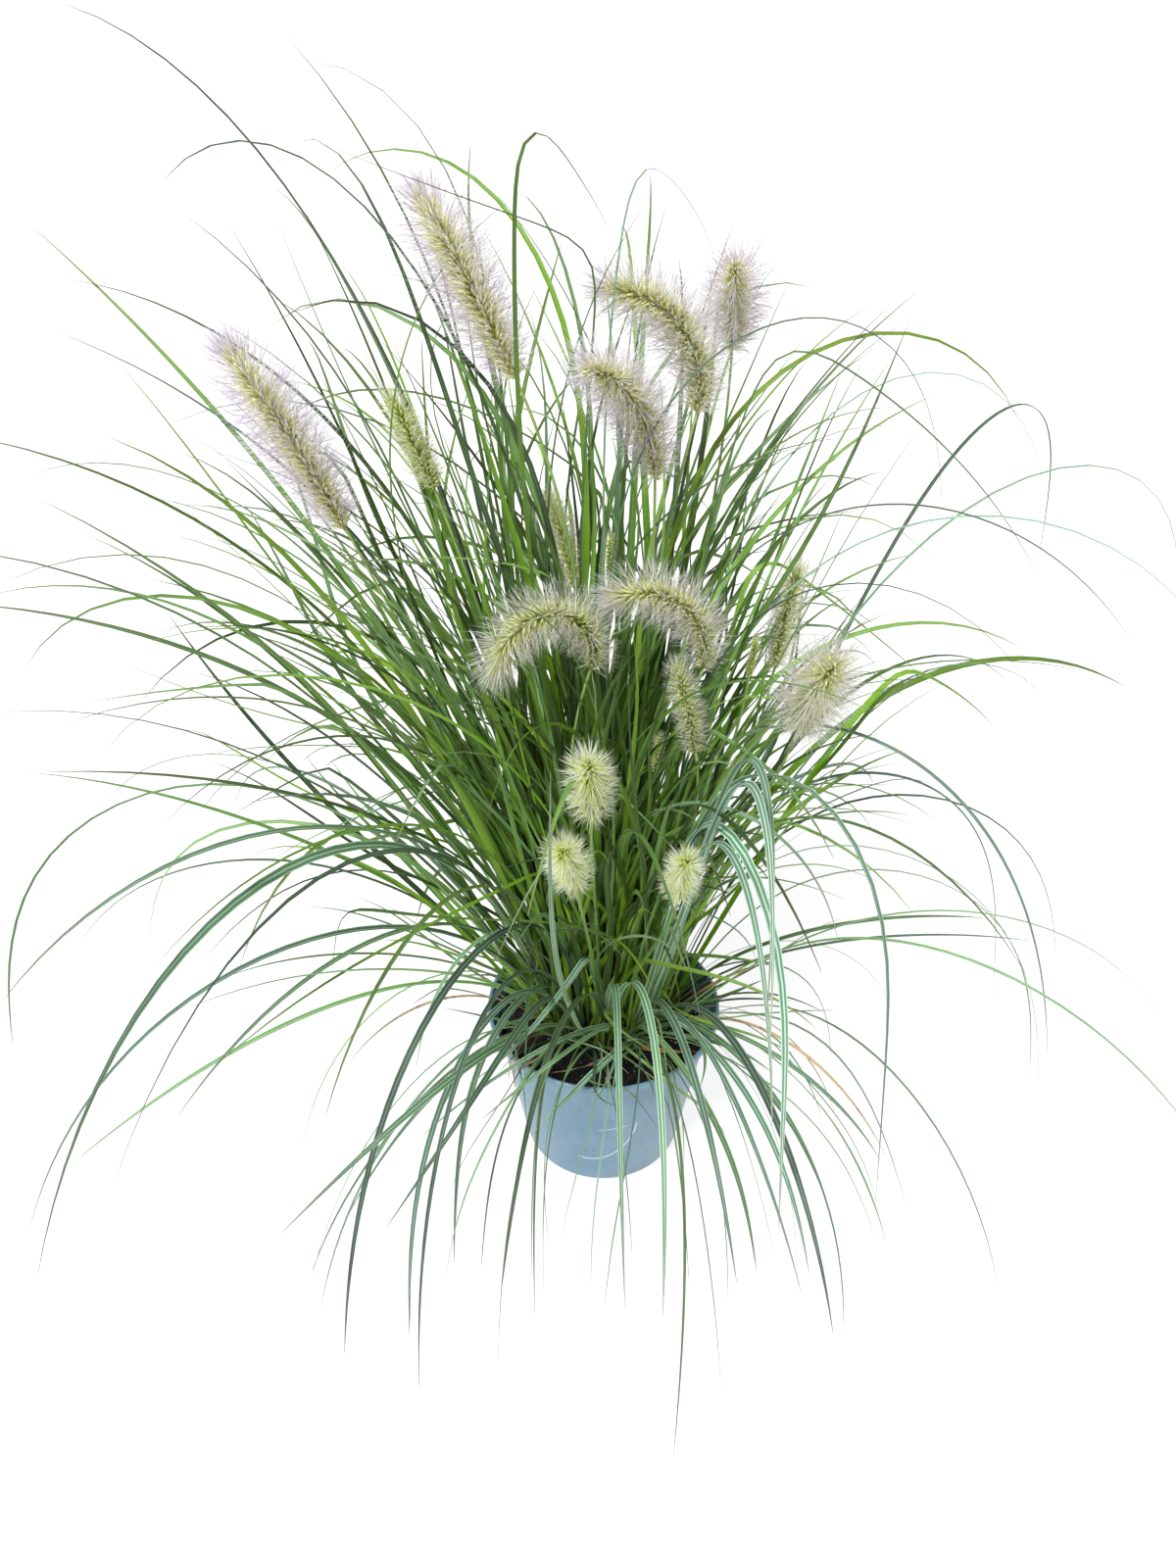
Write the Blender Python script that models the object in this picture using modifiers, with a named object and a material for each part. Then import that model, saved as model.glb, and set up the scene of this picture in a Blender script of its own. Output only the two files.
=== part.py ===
"""A potted fountain grass clump in flower, in metres, +Z up.

The origin is the centre of the pot's underside, on the surface that the pot stands on. The
front of the clump is towards -Y. Azimuths are degrees seen from above: 0 is the right (+X),
90 the back, 180 the left and 270 the front. A lean is degrees from upright.
"""

import math

import bmesh
import bpy
import numpy as np
from mathutils import Vector

NAME = "potted_fountain_grass"
GAP = 0.0003  # between neighbouring pieces

# pot
POT_HEIGHT = 0.145
RIM_RADIUS = 0.095  # outer edge of the rolled lip
LIP_DROP = 0.006
LIP_WIDTH = 0.003
BASE_RADIUS = 0.066
WALL = 0.0012
RINGS = ((0.119, 0.0010), (0.128, 0.0010))  # height and step of the stacking rings
FOOT_CHAMFER = 0.004
POT_SEGMENTS = 28
DRAIN_HOLES = 6
DRAIN_RADIUS = 0.006
DRAIN_CIRCLE = 0.045
DRAIN_TURN = 0.3  # share of the hole spacing by which the ring of holes is turned

# soil
SOIL_LEVEL = 0.125
SOIL_FLAT_RADIUS = 0.074
SOIL_EDGE_DROP = 0.004

# crown of the clump, where everything leaves the soil
CROWN = (0.0, 0.012)
CROWN_RADIUS = 0.052
ROOT_LEVEL = SOIL_LEVEL + GAP

# leaves
BLADE_HALF_WIDTH = 0.0023
BLADE_KEEL = 0.0011
BLADE_TIP = 0.14  # width at the tip, as a share of the width at the middle
BLADE_STEPS = 6  # straight stretches of a blade
FINE_STEPS = 5  # steps along each stretch that its bend is worked out in
HANG = 172  # a blade that has bent right over hangs this far from upright
SHEATH_RADIUS = 0.0042
SHEATH_HEIGHT = 0.012

# flowering stems
CULM_RADIUS = 0.0011
CULM_STEPS = 6
CULM_SIDES = 4
CULM_UPRIGHT = 0.15  # how much of the way to its spike a stem leans where it leaves the soil
CULM_INNERMOST = 0.010  # reach of the root of a stem whose spike is over the crown
CULM_SPREAD = 0.2  # how much further out the root is, as a share of the spike's reach
CULM_OUTERMOST = 0.9 * CROWN_RADIUS
SPIKE_STEPS = 6
ROUND_SIDES = 6  # of a spike and a sheath

# azimuth and reach of the foot of the spike, its height, the azimuth it bends to, its lean at
# the foot and at the tip, its length, and the radius that its bristles reach
STEMS = {
    "a": (170, 0.057, 0.640, 170, 24, 32, 0.118, 0.024),
    "b": (172, 0.175, 0.540, 172, 24, 34, 0.135, 0.025),
    "c": (34, 0.068, 0.611, 185, -13, 96, 0.116, 0.023),
    "d": (22, 0.032, 0.577, 225, 2, 77, 0.114, 0.022),
    "e": (53, 0.141, 0.631, 262, 24, 54, 0.085, 0.022),
    "f": (105, 0.085, 0.470, 110, 35, 65, 0.080, 0.013),
    "g": (160, 0.122, 0.560, 160, 20, 30, 0.065, 0.014),
    "h": (255, 0.043, 0.470, 205, -20, 190, 0.121, 0.020),
    "i": (333, 0.070, 0.464, 185, -14, 118, 0.105, 0.020),
    "j": (322, 0.076, 0.408, 180, 9, 18, 0.070, 0.012),
    "k": (15, 0.125, 0.430, 20, 5, 12, 0.080, 0.014),
    "l": (330, 0.140, 0.440, 280, 22, 45, 0.095, 0.025),
    "m": (266, 0.160, 0.438, 268, 25, 42, 0.080, 0.018),
    "n": (264, 0.190, 0.410, 262, 30, 46, 0.080, 0.014),
    "o": (284, 0.170, 0.382, 270, 28, 44, 0.080, 0.015),
    "p": (88, 0.050, 0.490, 0, 0, 5, 0.035, 0.005),
    "q": (330, 0.040, 0.375, 300, 5, 10, 0.035, 0.005),
    "r": (350, 0.097, 0.450, 20, 5, 8, 0.030, 0.005),
}

# Leaf shoots: azimuth and reach of the foot on the crown, then one row for each blade. A row
# is azimuth, lean at the foot, droop, length, stiffness (a high one bends only near the tip)
# and sweep, the degrees it turns sideways.
SHOOTS = {
    "far_left": (150, 0.030, (
        (158, 11, 72, 0.81, 4.0, 10),
        (133, 21, 80, 0.73, 5.0, -10),
        (165, 22, 30, 0.69, 2.2, 0),
        (181, 10, 84, 0.70, 2.7, 8),
        (176, 13, 62, 0.66, 2.0, 5),
    )),
    "left_high": (187, 0.034, (
        (178, 17, 120, 0.64, 3.6, -6),
        (193, 15, 66, 0.64, 2.4, 0),
        (184, 23, 105, 0.59, 3.3, 0),
        (197, 12, 76, 0.58, 1.4, -8),
        (170, 50, -12, 0.45, 2.5, -20),
        (198, 33, 46, 0.48, 2.2, -3),
    )),
    "left_low": (213, 0.044, (
        (220, 17, 211, 0.65, 2.3, 28),
        (197, 26, 420, 0.67, 3.2, 0),
        (212, 12, 160, 0.56, 2.0, 5),
        (220, 23, 120, 0.43, 1.0, -8),
        (207, 20, 250, 0.58, 1.6, 0),
        (236, 20, 135, 0.46, 2.0, -5),
    )),
    "top": (118, 0.018, (
        (129, 3, 150, 0.80, 4.3, 25),
        (120, 3, 160, 0.80, 5.0, 35),
        (78, 14, 90, 0.72, 4.4, 30),
        (116, 20, 32, 0.69, 4.5, -28),
        (135, 14, 30, 0.65, 3.0, -20),
    )),
    "top_right": (62, 0.028, (
        (37, 3, 70, 0.61, 2.6, -15),
        (30, 3, 55, 0.61, 1.7, -12),
        (20, 3, 114, 0.57, 4.5, -22),
        (65, 18, 110, 0.72, 4.5, 30),
        (10, 3, 221, 0.72, 4.6, -20),
    )),
    "right_high": (358, 0.038, (
        (18, 4, 400, 0.79, 4.6, -5),
        (14, 18, 420, 0.77, 5.0, 5),
        (-5, 3, 190, 0.69, 3.2, -20),
        (-25, 19, 24, 0.43, 2.2, -8),
        (-18, 4, 200, 0.61, 4.2, -20),
    )),
    "right_low": (343, 0.050, (
        (9, 20, 218, 0.53, 3.3, 8),
        (-9, 12, 450, 0.66, 2.5, -4),
        (-8, 15, 480, 0.60, 2.6, 10),
        (-16, 26, 95, 0.33, 1.0, 20),
        (-11, 24, 480, 0.52, 2.6, 5),
    )),
    "front_right": (307, 0.040, (
        (-60, 18, 1400, 0.70, 6.0, -5),
        (-66, 18, 1300, 0.64, 5.6, -8),
        (292, 33, 196, 0.42, 2.3, -5),
        (282, 32, 150, 0.39, 2.0, 7),
        (276, 30, 150, 0.40, 2.2, 4),
    )),
    "front": (276, 0.0335, (
        (278, 26, 379, 0.44, 2.9, -8),
        (265, 26, 200, 0.43, 2.4, 8),
        (261, 28, 150, 0.42, 2.1, 0),
        (268, 38, 30, 0.38, 1.0, -22),
    )),
    "front_left": (247, 0.040, (
        (249, 25, 383, 0.53, 2.7, 10),
        (240, 10, 344, 0.55, 2.1, 6),
        (243, 28, 500, 0.46, 2.8, 5),
        (256, 16, 110, 0.38, 1.1, -18),
        (250, 32, 70, 0.40, 1.0, -14),
    )),
}

# The rest of the clump, all the way round: azimuth and reach of the foot of each further shoot,
# and the lean of its blades.
INNER_SHOOTS = (
    (26, 0.046, 24), (60, 0.044, 32), (85, 0.046, 26), (112, 0.044, 34), (137, 0.046, 24),
    (166, 0.0525, 36), (195, 0.018, 8), (282, 0.010, 10), (322, 0.055, 34), (225, 0.028, 16),
    (310, 0.022, 12), (20, 0.008, 6),
)
INNER_BLADES = 3
INNER_FAN = 34  # degrees between the outermost blades of an inner shoot
INNER_LENGTH = 0.56
INNER_DROOP = 90

COLOURS = {
    "pot": ((0.27, 0.39, 0.48), 0.38),
    "soil": ((0.012, 0.009, 0.008), 0.95),
    "culm": ((0.20, 0.36, 0.07), 0.50),
    "spike": ((0.62, 0.62, 0.38), 0.85),
    "leaf": ((0.08, 0.22, 0.04), 0.45),
}


def clear_scene():
    for obj in list(bpy.data.objects):
        bpy.data.objects.remove(obj, do_unlink=True)


def new_collection(name, helper=False):
    collection = bpy.data.collections.new(name)
    bpy.context.scene.collection.children.link(collection)
    collection.hide_render = helper
    return collection


def make_material(name):
    colour, roughness = COLOURS[name]
    material = bpy.data.materials.new(name)
    material.use_nodes = True
    shader = material.node_tree.nodes["Principled BSDF"]
    shader.inputs["Base Color"].default_value = (*colour, 1)
    shader.inputs["Roughness"].default_value = roughness
    shader.inputs["Metallic"].default_value = 0
    material.diffuse_color = (*colour, 1)
    return material


def direction(azimuth, lean):
    """Unit vector that leans by lean from upright towards azimuth, both in degrees."""
    turn, tip = math.radians(azimuth), math.radians(lean)
    return Vector((math.sin(tip) * math.cos(turn), math.sin(tip) * math.sin(turn), math.cos(tip)))


def on_crown(azimuth, reach, height=ROOT_LEVEL):
    turn = math.radians(azimuth)
    return Vector((CROWN[0] + reach * math.cos(turn), CROWN[1] + reach * math.sin(turn), height))


def walk(start, headings, length):
    """Points of a path that sets off from start and takes one equal step along each heading."""
    points = [start.copy()]
    for azimuth, lean in headings:
        points.append(points[-1] + direction(azimuth, lean) * length / len(headings))
    return points


def blade_path(row, foot):
    """A blade leaves its foot straight, bends over more and more, and at the last hangs."""
    azimuth, lean, droop, length, stiffness, sweep = row
    headings = []
    steps = BLADE_STEPS * FINE_STEPS
    for step in range(steps):
        along = (step + 0.5) / steps
        bent = lean + droop * along**stiffness
        headings.append((azimuth + sweep * along, HANG * math.tanh(bent / HANG)))
    return walk(foot, headings, length)[::FINE_STEPS]


def spike_path(row):
    azimuth, reach, height, towards, lean, tip_lean, length, _ = row
    shares = [(step + 0.5) / SPIKE_STEPS for step in range(SPIKE_STEPS)]
    headings = [(towards, lean + (tip_lean - lean) * share) for share in shares]
    return walk(on_crown(azimuth, reach, height), headings, length)


def culm_path(row):
    """A stem rises from the crown and ends just under its spike, in line with it."""
    azimuth, reach, height, towards, lean, _, _, _ = row
    root = on_crown(azimuth, min(CULM_OUTERMOST, CULM_INNERMOST + CULM_SPREAD * reach))
    end_heading = direction(towards, lean)
    top = on_crown(azimuth, reach, height) - end_heading * GAP
    span = (top - root).length
    leaving = Vector((0, 0, 1)) + (top - root).normalized() * CULM_UPRIGHT
    leaving = leaving.normalized() * span
    arriving = end_heading * span
    points = []
    for step in range(CULM_STEPS + 1):
        t = step / CULM_STEPS
        points.append(
            root * (2 * t**3 - 3 * t**2 + 1) + leaving * (t**3 - 2 * t**2 + t)
            + top * (3 * t**2 - 2 * t**3) + arriving * (t**3 - t**2)
        )
    return points


class Clearance:
    """Remembers the pieces placed so far, to keep each new one clear of them."""

    SPACING = 0.005
    MARGIN = 0.0008

    def __init__(self):
        self.points = np.empty((0, 3), np.float32)
        self.radii = np.empty(0, np.float32)

    def copy(self):
        twin = Clearance()
        twin.points, twin.radii = self.points, self.radii
        return twin

    def sampled(self, path, radii):
        """The path and its radii at even, close spacing."""
        corners = np.array(path, dtype=float)
        walked = np.concatenate([[0], np.cumsum(np.linalg.norm(np.diff(corners, axis=0), axis=1))])
        marks = np.linspace(0, walked[-1], max(2, math.ceil(walked[-1] / self.SPACING)))
        points = np.stack([np.interp(marks, walked, corners[:, axis]) for axis in range(3)], 1)
        return points.astype(np.float32), np.interp(marks, walked, radii).astype(np.float32)

    def room(self, path, radii):
        """The least distance between this path's surface and the pieces placed so far."""
        if not len(self.points):
            return math.inf
        points, own = self.sampled(path, radii)
        squares = (points**2).sum(1)[:, None] + (self.points**2).sum(1) - 2 * points @ self.points.T
        apart = np.sqrt(np.maximum(squares, 0))
        return float((apart - own[:, None] - self.radii).min())

    def add(self, path, radii):
        points, own = self.sampled(path, radii)
        self.points = np.concatenate([self.points, points])
        self.radii = np.concatenate([self.radii, own])


def blade_radii():
    """A blade's half width at each point: full over its lower two thirds, then tapering."""
    radii = []
    for step in range(BLADE_STEPS + 1):
        along = step / BLADE_STEPS
        taper = 1 - (1 - BLADE_TIP) * max(0, along - 0.4) / 0.6
        radii.append(BLADE_HALF_WIDTH * min(taper, 0.7 + along))
    return radii


def spike_radii(length_steps, radius):
    """Bristles stand shorter at the foot and at the tip of a spike."""
    shares = [step / length_steps for step in range(length_steps + 1)]
    return [radius * (0.30 + 0.70 * math.sin(math.pi * (0.12 + 0.76 * share))) for share in shares]


# Degrees that a blade may be turned by, the least first.
NUDGES = [0] + [side * step for step in range(2, 41, 2) for side in (1, -1)]


def placed_blade(row, foot, clearance):
    """The row's blade, turned by the least angle that keeps it clear of other pieces."""
    most_room, best = -math.inf, None
    for nudge in NUDGES:
        path = blade_path((row[0] + nudge,) + row[1:], foot)
        room = clearance.room(path, blade_radii())
        if room > most_room:
            most_room, best = room, path
        if room > clearance.MARGIN:
            break
    return best


def tube(name, path, radii, sides, collection):
    """A round solid along a path, with a radius at each point."""
    data = bpy.data.curves.new(name, "CURVE")
    data.dimensions = "3D"
    data.bevel_depth = 1.0
    data.bevel_resolution = sides // 2 - 2
    data.use_fill_caps = True
    data.twist_mode = "MINIMUM"
    spline = data.splines.new("POLY")
    spline.points.add(len(path) - 1)
    for point, place, radius in zip(spline.points, path, radii):
        point.co = (*place, 1)
        point.radius = radius
    obj = bpy.data.objects.new(name, data)
    collection.objects.link(obj)
    return obj


def blade_section(collection):
    """The cross-section that every blade is drawn along: a shallow keel, one unit half wide."""
    data = bpy.data.curves.new("blade_section", "CURVE")
    data.dimensions = "2D"
    spline = data.splines.new("POLY")
    keel = BLADE_KEEL / BLADE_HALF_WIDTH
    corners = ((-1, keel / 2), (0, -keel / 2), (1, keel / 2))
    spline.points.add(len(corners) - 1)
    for point, (x, y) in zip(spline.points, corners):
        point.co = (x, y, 0, 1)
    spline.use_cyclic_u = True
    obj = bpy.data.objects.new("blade_section", data)
    obj.hide_render = True
    collection.objects.link(obj)
    return obj


def to_meshes(curve_objects):
    """Puts a closed mesh object of the same name in place of each curve, and returns them."""
    bpy.context.view_layer.update()
    graph = bpy.context.evaluated_depsgraph_get()
    solids = []
    for curve_object in curve_objects:
        mesh = bpy.data.meshes.new_from_object(curve_object.evaluated_get(graph))
        shape = bmesh.new()
        shape.from_mesh(mesh)
        bmesh.ops.remove_doubles(shape, verts=shape.verts, dist=1e-6)
        bmesh.ops.recalc_face_normals(shape, faces=shape.faces)
        shape.to_mesh(mesh)
        shape.free()
        solid = bpy.data.objects.new("solid", mesh)
        solid.matrix_world = curve_object.matrix_world
        curve_object.users_collection[0].objects.link(solid)
        solids.append(solid)
    for curve_object, solid in zip(curve_objects, solids):
        name = curve_object.name
        bpy.data.objects.remove(curve_object, do_unlink=True)
        solid.name = name
    return solids


def blade_curve(name, path, section, collection):
    blade = tube(name, path, blade_radii(), CULM_SIDES, collection)
    blade.data.bevel_mode = "OBJECT"
    blade.data.bevel_object = section
    blade.data.twist_mode = "Z_UP"
    return blade


def sheath_curve(name, foot, collection):
    """The sheath stands on the soil and closes in around its blades."""
    path = [foot, foot + Vector((0, 0, SHEATH_HEIGHT))]
    radii = [SHEATH_RADIUS, SHEATH_RADIUS * 0.85]
    return tube(name, path, radii, ROUND_SIDES, collection)


def join_blades(sheath, blades):
    """The sheath and the blades that come out of it grew as one piece."""
    union = sheath.modifiers.new("blades", "BOOLEAN")
    union.operation = "UNION"
    union.solver = "EXACT"
    union.operand_type = "COLLECTION"
    union.collection = blades


def turned(name, profile, segments, collection):
    """A profile of (radius, height) points turned about the Z axis."""
    mesh = bpy.data.meshes.new(name)
    edges = [(index, index + 1) for index in range(len(profile) - 1)]
    mesh.from_pydata([(radius, 0, height) for radius, height in profile], edges, [])
    obj = bpy.data.objects.new(name, mesh)
    collection.objects.link(obj)
    screw = obj.modifiers.new("turn", "SCREW")
    screw.steps = screw.render_steps = segments
    screw.use_merge_vertices = True
    screw.merge_threshold = 1e-5
    screw.use_smooth_shade = True
    return obj


def outer_radius(height):
    """The pot's outer wall: it widens to the rim, with a small step at each stacking ring."""
    top = RIM_RADIUS - LIP_WIDTH - sum(step for _, step in RINGS)
    radius = BASE_RADIUS + (top - BASE_RADIUS) * height / POT_HEIGHT
    return radius + sum(step for level, step in RINGS if height > level)


def pot_profile():
    """From the middle of the floor's upper side, up the inside, over the lip and down the outside."""
    ring_levels = [level for level, _ in RINGS]
    wall_heights = [POT_HEIGHT - LIP_DROP]
    for level in reversed(ring_levels):
        wall_heights += [level + 0.0005, level - 0.0005]
    wall_heights.append(FOOT_CHAMFER)
    outside = [(outer_radius(height), height) for height in wall_heights]
    low_ring = ring_levels[0] - 0.0005
    inside = [
        (outer_radius(wall_heights[0]) - WALL, wall_heights[0]),
        (outer_radius(low_ring) - WALL, low_ring),
        (outer_radius(FOOT_CHAMFER) - WALL, FOOT_CHAMFER),
    ]
    lip = [
        (RIM_RADIUS - 0.0004, POT_HEIGHT - LIP_DROP),
        (RIM_RADIUS, POT_HEIGHT - LIP_DROP / 2),
        (RIM_RADIUS - LIP_WIDTH * 0.4, POT_HEIGHT),
        (RIM_RADIUS - LIP_WIDTH - WALL, POT_HEIGHT - 0.0004),
    ]
    floor_outside = [(BASE_RADIUS - FOOT_CHAMFER, 0), (0, 0)]
    floor_inside = [(0, WALL), (BASE_RADIUS - FOOT_CHAMFER - WALL / 2, WALL)]
    return floor_inside + inside[::-1] + lip[::-1] + outside + floor_outside


def make_pot(parts, helpers):
    pot = turned("pot", pot_profile(), POT_SEGMENTS, parts)
    for number in range(DRAIN_HOLES):
        turn = 2 * math.pi * (number + DRAIN_TURN) / DRAIN_HOLES
        bpy.ops.mesh.primitive_cylinder_add(
            vertices=12, radius=DRAIN_RADIUS, depth=6 * WALL,
            location=(DRAIN_CIRCLE * math.cos(turn), DRAIN_CIRCLE * math.sin(turn), 0),
        )
        drill = bpy.context.object
        drill.name = f"drain_drill_{number}"
        drill.hide_render = True
        drill.display_type = "WIRE"
        for holder in list(drill.users_collection):
            holder.objects.unlink(drill)
        helpers.objects.link(drill)
        cut = pot.modifiers.new(drill.name, "BOOLEAN")
        cut.operation = "DIFFERENCE"
        cut.solver = "EXACT"
        cut.object = drill
    return pot


def make_soil(parts):
    """Peat that fills the pot up to a flat crown and sinks a little towards the wall."""
    inner = [(outer_radius(height) - WALL - GAP, height) for height in (FOOT_CHAMFER + 0.002, 0.118)]
    edge = SOIL_LEVEL - SOIL_EDGE_DROP
    wall_top = outer_radius(RINGS[0][0] - 0.001) - WALL - GAP
    low = WALL + GAP
    profile = [
        (0, SOIL_LEVEL), (SOIL_FLAT_RADIUS, SOIL_LEVEL), (wall_top, edge),
        (inner[1][0], inner[1][1]), (inner[0][0], inner[0][1]),
        (BASE_RADIUS - FOOT_CHAMFER - WALL - GAP, low), (0, low),
    ]
    return turned("soil", profile, POT_SEGMENTS, parts)


def inner_rows(number, azimuth, lean):
    """The blades of an inner shoot, fanned about its azimuth, each a little unlike the last."""
    rows = []
    for blade in range(INNER_BLADES):
        share = blade / (INNER_BLADES - 1) - 0.5
        odd = (number + blade) % 3 - 1
        rows.append((
            azimuth + INNER_FAN * share, lean + 5 * odd, INNER_DROOP + 3 * lean + 30 * odd,
            INNER_LENGTH - 0.03 * odd - 0.0025 * lean, 2.6 + 0.4 * odd, 12 * share,
        ))
    return rows


def all_shoots():
    shoots = [(f"shoot_{name}", *row) for name, row in SHOOTS.items()]
    for number, (azimuth, reach, lean) in enumerate(INNER_SHOOTS):
        shoots.append((f"shoot_inner_{number + 1:02d}", azimuth, reach, inner_rows(number, azimuth, lean)))
    return shoots


def place_blades(shoots, clearance):
    """Paths of the blades of each shoot, by name, each clear of the stems and other shoots."""
    feet = {name: on_crown(azimuth, reach) for name, azimuth, reach, _ in shoots}
    sheaths = {name: [foot, foot + Vector((0, 0, SHEATH_HEIGHT))] for name, foot in feet.items()}
    sheath_radii = [SHEATH_RADIUS, SHEATH_RADIUS]
    paths = {}
    for name, _, _, rows in shoots:
        others = clearance.copy()
        for other, sheath in sheaths.items():
            if other != name:
                others.add(sheath, sheath_radii)
        paths[name] = [placed_blade(row, feet[name], others) for row in rows]
        for path in paths[name]:
            clearance.add(path, blade_radii())
    return paths


def main():
    clear_scene()
    parts = new_collection(NAME)
    helpers = new_collection("helpers", helper=True)
    clearance = Clearance()
    spikes, culms = [], []
    for letter, row in STEMS.items():
        path, radii = spike_path(row), spike_radii(SPIKE_STEPS, row[-1])
        spikes.append(tube(f"spike_{letter}", path, radii, ROUND_SIDES, parts))
        clearance.add(path, radii)
        stem, stem_radii = culm_path(row), [CULM_RADIUS] * (CULM_STEPS + 1)
        culms.append(tube(f"culm_{letter}", stem, stem_radii, CULM_SIDES, parts))
        clearance.add(stem, stem_radii)

    section = blade_section(helpers)
    shoots = all_shoots()
    paths = place_blades(shoots, clearance)
    sheaths, blades, bunches = [], [], []
    for name, azimuth, reach, _ in shoots:
        sheaths.append(sheath_curve(name, on_crown(azimuth, reach), parts))
        bunches.append(new_collection(name + "_blades", helper=True))
        for number, path in enumerate(paths[name]):
            blades.append(blade_curve(f"{name}_blade_{number}", path, section, bunches[-1]))

    spikes, culms = to_meshes(spikes), to_meshes(culms)
    sheaths, blades = to_meshes(sheaths), to_meshes(blades)
    for blade in blades:
        blade.hide_render = True
        blade.display_type = "WIRE"
    for sheath, bunch in zip(sheaths, bunches):
        join_blades(sheath, bunch)

    carrier = bpy.data.objects.new(NAME, None)
    parts.objects.link(carrier)
    made = {
        "pot": [make_pot(parts, helpers)], "soil": [make_soil(parts)],
        "culm": culms, "spike": spikes, "leaf": sheaths,
    }
    for kind, solids in made.items():
        material = make_material(kind)
        for solid in solids:
            solid.data.materials.append(material)
            solid.parent = carrier


if __name__ == "__main__":
    main()
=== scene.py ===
"""Looks of the potted fountain grass clump, built around its solids.

Metres, +Z up. The origin is the centre of the pot's underside, and the front is towards -Y.
Azimuths are degrees seen from above: 0 is the right (+X), 90 the back, 180 the left and 270 the
front. A lean is degrees from upright.
"""

import math

import bmesh
import bpy
import numpy as np
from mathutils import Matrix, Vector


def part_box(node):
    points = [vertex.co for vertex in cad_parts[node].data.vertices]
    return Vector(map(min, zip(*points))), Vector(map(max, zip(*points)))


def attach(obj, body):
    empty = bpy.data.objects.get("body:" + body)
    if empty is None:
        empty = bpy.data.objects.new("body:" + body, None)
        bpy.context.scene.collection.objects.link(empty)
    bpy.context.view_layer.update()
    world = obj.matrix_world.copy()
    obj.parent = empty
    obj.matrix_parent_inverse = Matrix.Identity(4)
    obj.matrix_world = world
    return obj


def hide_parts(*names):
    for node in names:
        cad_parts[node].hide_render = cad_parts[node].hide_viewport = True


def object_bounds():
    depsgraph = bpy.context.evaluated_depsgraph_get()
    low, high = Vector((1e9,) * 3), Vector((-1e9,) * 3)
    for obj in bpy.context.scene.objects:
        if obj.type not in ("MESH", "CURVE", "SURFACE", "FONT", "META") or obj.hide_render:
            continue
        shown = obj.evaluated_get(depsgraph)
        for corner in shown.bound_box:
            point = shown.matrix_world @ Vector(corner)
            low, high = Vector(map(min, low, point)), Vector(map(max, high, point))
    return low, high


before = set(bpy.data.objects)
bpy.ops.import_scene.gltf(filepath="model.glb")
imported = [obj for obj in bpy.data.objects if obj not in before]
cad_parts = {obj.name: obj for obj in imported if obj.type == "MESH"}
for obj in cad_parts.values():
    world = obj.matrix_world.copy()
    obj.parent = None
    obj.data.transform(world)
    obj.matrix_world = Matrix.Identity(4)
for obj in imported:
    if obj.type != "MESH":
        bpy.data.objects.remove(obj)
CAD_BOX = [list(corner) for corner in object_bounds()]
SEEDS = {"upright": 7, "leaves": 11, "dead leaves": 77, "spikes": 500, "crumbs": 900}

# --- sizes taken from the solids ---
POT_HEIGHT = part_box("pot")[1].z
RIM_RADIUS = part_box("pot")[1].x
SOIL_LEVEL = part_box("soil")[1].z
SOIL_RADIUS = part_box("soil")[1].x

# --- pot ---
BASE_RADIUS = 0.066
WALL = 0.0012
LIP_WIDTH = 0.003
LIP_ROUND = LIP_WIDTH / 2 + 0.0002
LIP_DROP = 0.006
RINGS = ((0.119, 0.001), (0.128, 0.001))  # height and step of the stacking rings
FOOT_CHAMFER = 0.004
DRAIN_HOLES = 6
DRAIN_RADIUS = 0.006
DRAIN_CIRCLE = 0.045
DRAIN_TURN = 0.3
POT_SEGMENTS = 128
SHARP_EDGE = 38  # degrees

# --- crown and leaves ---
CROWN = (0, 0.012)
CROWN_RADIUS = 0.052
ROOT_LEVEL = SOIL_LEVEL + 0.0003
HANG = 172  # degrees from upright of a blade that has bent right over
BLADE_HALF_WIDTH = 0.0026
MAIN_STEPS = 34
COUSIN_STEPS = 24
KINK_SOFTNESS = 0.012  # share of a blade's length over which it folds
KINKED = 0.16  # share of the finer blades that have folded over
KINK_PLACE, KINK_FALL = (0.45, 0.85), (35, 110)  # where they fold, and by how many degrees
WANDER_WAVE = 6.5  # radians of the side-to-side wave over a blade's length
UNFOLDED = (1, 0)  # the share of a blade's length where it folds, and by how many degrees
EVEN = (*UNFOLDED, 0, 0)  # the bend of a blade that neither folds nor wanders

# --- flowering stems ---
CULM_RADIUS = 0.0011
CULM_UPRIGHT = 0.15  # how far a stem leans at its root towards where it ends
CULM_INNERMOST, CULM_OUTERMOST = 0.01, 0.9 * CROWN_RADIUS  # feet of stems on the crown
CULM_SPREAD = 0.2  # how far out a foot is, as a share of how far out its spike is
GAP = 0.0003  # between a stem and its spike
SPIKE_FINE = 64  # steps along a spike's axis
SPIKE_MARKS = np.linspace(0, 1, SPIKE_FINE + 1)

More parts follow.
